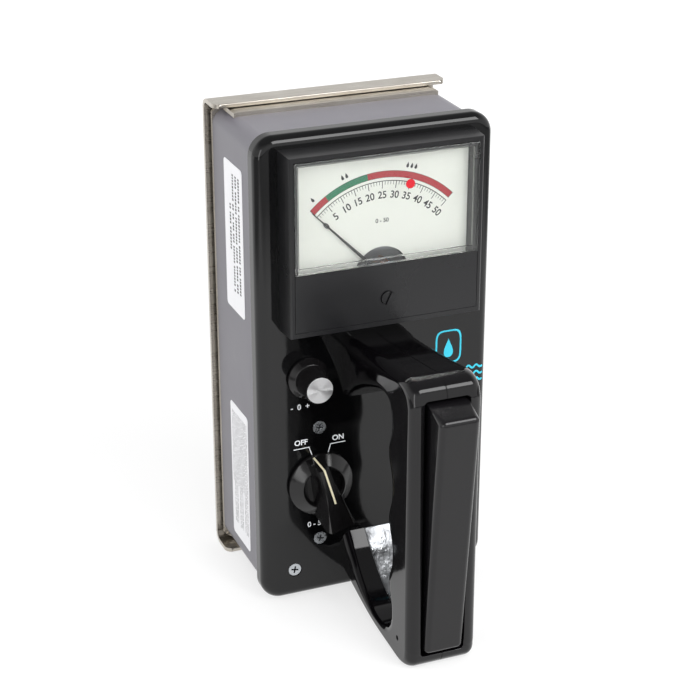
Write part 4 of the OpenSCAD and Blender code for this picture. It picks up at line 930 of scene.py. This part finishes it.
def level(name, z, mat):
    """A flat square 6 m wide at height z."""
    mesh = bpy.data.meshes.new(name)
    mesh.from_pydata([(-3, -3, z), (3, -3, z), (3, 3, z), (-3, 3, z)], [], [(0, 1, 2, 3)])
    mesh.materials.append(mat)
    obj = bpy.data.objects.new(name, mesh)
    bpy.context.scene.collection.objects.link(obj)
    return obj


def stage_floor():
    """Matt pale floor that glows a little for the eye, for mirrors and through glass, so that
    it is white while the object's shadow stays. Far from the lamps it glows as bright as the
    world, so that no horizon shows."""
    mat, tree, shader = material("matt_white_floor", Roughness=1.0, Base_Color=colour("949494"))
    shader.inputs["Specular IOR Level"].default_value = 0.0
    seen = ray_is(tree, "Is Camera Ray", "Is Glossy Ray", "Is Transmission Ray")
    coords = add(tree, "ShaderNodeTexCoord")
    far = add(tree, "ShaderNodeVectorMath", {0: coords.outputs["Object"]}, operation="LENGTH").outputs["Value"]
    shine = spread(tree, far, 0.66, 1.0, 0.5, 1.6)
    strength = add(tree, "ShaderNodeMath", {0: seen, 1: shine}, operation="MULTIPLY").outputs[0]
    glow = add(tree, "ShaderNodeEmission", {"Color": colour("ffffff"), "Strength": strength})
    both = add(tree, "ShaderNodeAddShader", {0: shader.outputs[0], 1: glow.outputs[0]})
    tree.links.new(both.outputs[0], tree.nodes["Material Output"].inputs["Surface"])
    level("floor", -0.0002, mat)


def dark_cards():
    """Grey cards on the floor, 0.4 m in front and 0.5 m to either side, with soft edges, that
    only polished surfaces mirror: they keep the gloss black and the dial free of glare."""
    mat, tree, shader = material("grey_card", Roughness=1.0, Base_Color=colour("8c8c8c"))
    shader.inputs["Specular IOR Level"].default_value = 0.0
    coords = add(tree, "ShaderNodeTexCoord")
    place = add(tree, "ShaderNodeSeparateXYZ", {"Vector": coords.outputs["Object"]})
    front = spread(tree, place.outputs["Y"], 1.0, 0.0, -0.52, -0.36)
    aside = add(tree, "ShaderNodeMath", {0: place.outputs["X"]}, operation="ABSOLUTE").outputs[0]
    side = spread(tree, aside, 0.0, 1.0, 0.42, 0.54)
    ahead = spread(tree, place.outputs["Y"], 1.0, 0.0, 0.1, 0.28)
    beside = add(tree, "ShaderNodeMath", {0: side, 1: ahead}, operation="MINIMUM").outputs[0]
    cover = add(tree, "ShaderNodeMath", {0: front, 1: beside}, operation="MAXIMUM").outputs[0]
    clear = add(tree, "ShaderNodeBsdfTransparent")
    mix = add(tree, "ShaderNodeMixShader", {0: cover, 1: clear.outputs[0], 2: shader.outputs[0]})
    tree.links.new(mix.outputs[0], tree.nodes["Material Output"].inputs["Surface"])
    cards = level("dark_cards", -0.0001, mat)
    cards.visible_camera = cards.visible_transmission = False
    cards.visible_diffuse = cards.visible_shadow = False


def studio_world():
    """A white room: full white to the eye and through glass, an even light on matt surfaces;
    in mirrors white at the horizon and dimmer from 30 degrees up."""
    world = bpy.data.worlds.new("studio")
    world.use_nodes = True
    bpy.context.scene.world = world
    tree = world.node_tree
    background = tree.nodes["Background"]
    coords = add(tree, "ShaderNodeTexCoord")
    split = add(tree, "ShaderNodeSeparateXYZ", {"Vector": coords.outputs["Generated"]})
    cove = spread(tree, split.outputs["Z"], 1.0, 0.3, 0.35, 0.75)
    seen = ray_is(tree, "Is Camera Ray", "Is Transmission Ray")
    even = spread(tree, seen, 0.8, 1.0)
    mirror = ray_is(tree, "Is Glossy Ray")
    mix = add(tree, "ShaderNodeMix", {"Factor": mirror, "A": even, "B": cove}, data_type="FLOAT")
    tree.links.new(mix.outputs[0], background.inputs["Strength"])
    background.inputs["Color"].default_value = (1, 1, 1, 1)


def softbox(name, place, target, size, power, mirrored=True):
    """Area lamp at place that looks at target; size is its width and height in metres. One that
    isn't mirrored lights matt surfaces only."""
    lamp = bpy.data.lights.new(name, "AREA")
    lamp.shape = "RECTANGLE"
    lamp.size, lamp.size_y = size
    lamp.energy = power
    obj = bpy.data.objects.new(name, lamp)
    obj.location = place
    obj.rotation_euler = (Vector(target) - Vector(place)).to_track_quat("-Z", "Y").to_euler()
    obj.visible_camera = False
    obj.visible_glossy = mirrored
    bpy.context.scene.collection.objects.link(obj)


def camera():
    """Three-quarter view from the left and above with a 96 mm lens on a 36 mm sensor."""
    data = bpy.data.cameras.new("camera")
    data.sensor_width = 36
    data.lens = 1864.76 / 700 * 36
    data.clip_start = 0.05
    obj = bpy.data.objects.new("camera", data)
    obj.location = pt(-295.1, -698.6, 450.8)
    obj.rotation_euler = (math.radians(66.35), 0, math.radians(-22.03))
    bpy.context.scene.collection.objects.link(obj)
    bpy.context.scene.camera = obj


stage_floor()
dark_cards()
studio_world()
MIDDLE = (0.0, 0.0, 0.11)
softbox("back_box", (0.55, 1.35, 0.85), MIDDLE, (1.7, 0.9), 6, mirrored=False)
softbox("front_box", (0.1, -1.3, 0.8), MIDDLE, (1.3, 0.9), 14, mirrored=False)
softbox("left_box", (-1.25, 0.3, 0.7), MIDDLE, (0.8, 0.8), 6, mirrored=False)
softbox("overhead_box", (0.48, -0.85, 1.05), MIDDLE, (0.8, 0.6), 9)
softbox("side_strip", (-0.55, -0.5, 0.26), MIDDLE, (0.14, 0.5), 0.6)
camera()
bpy.context.scene.view_settings.view_transform = "Standard"
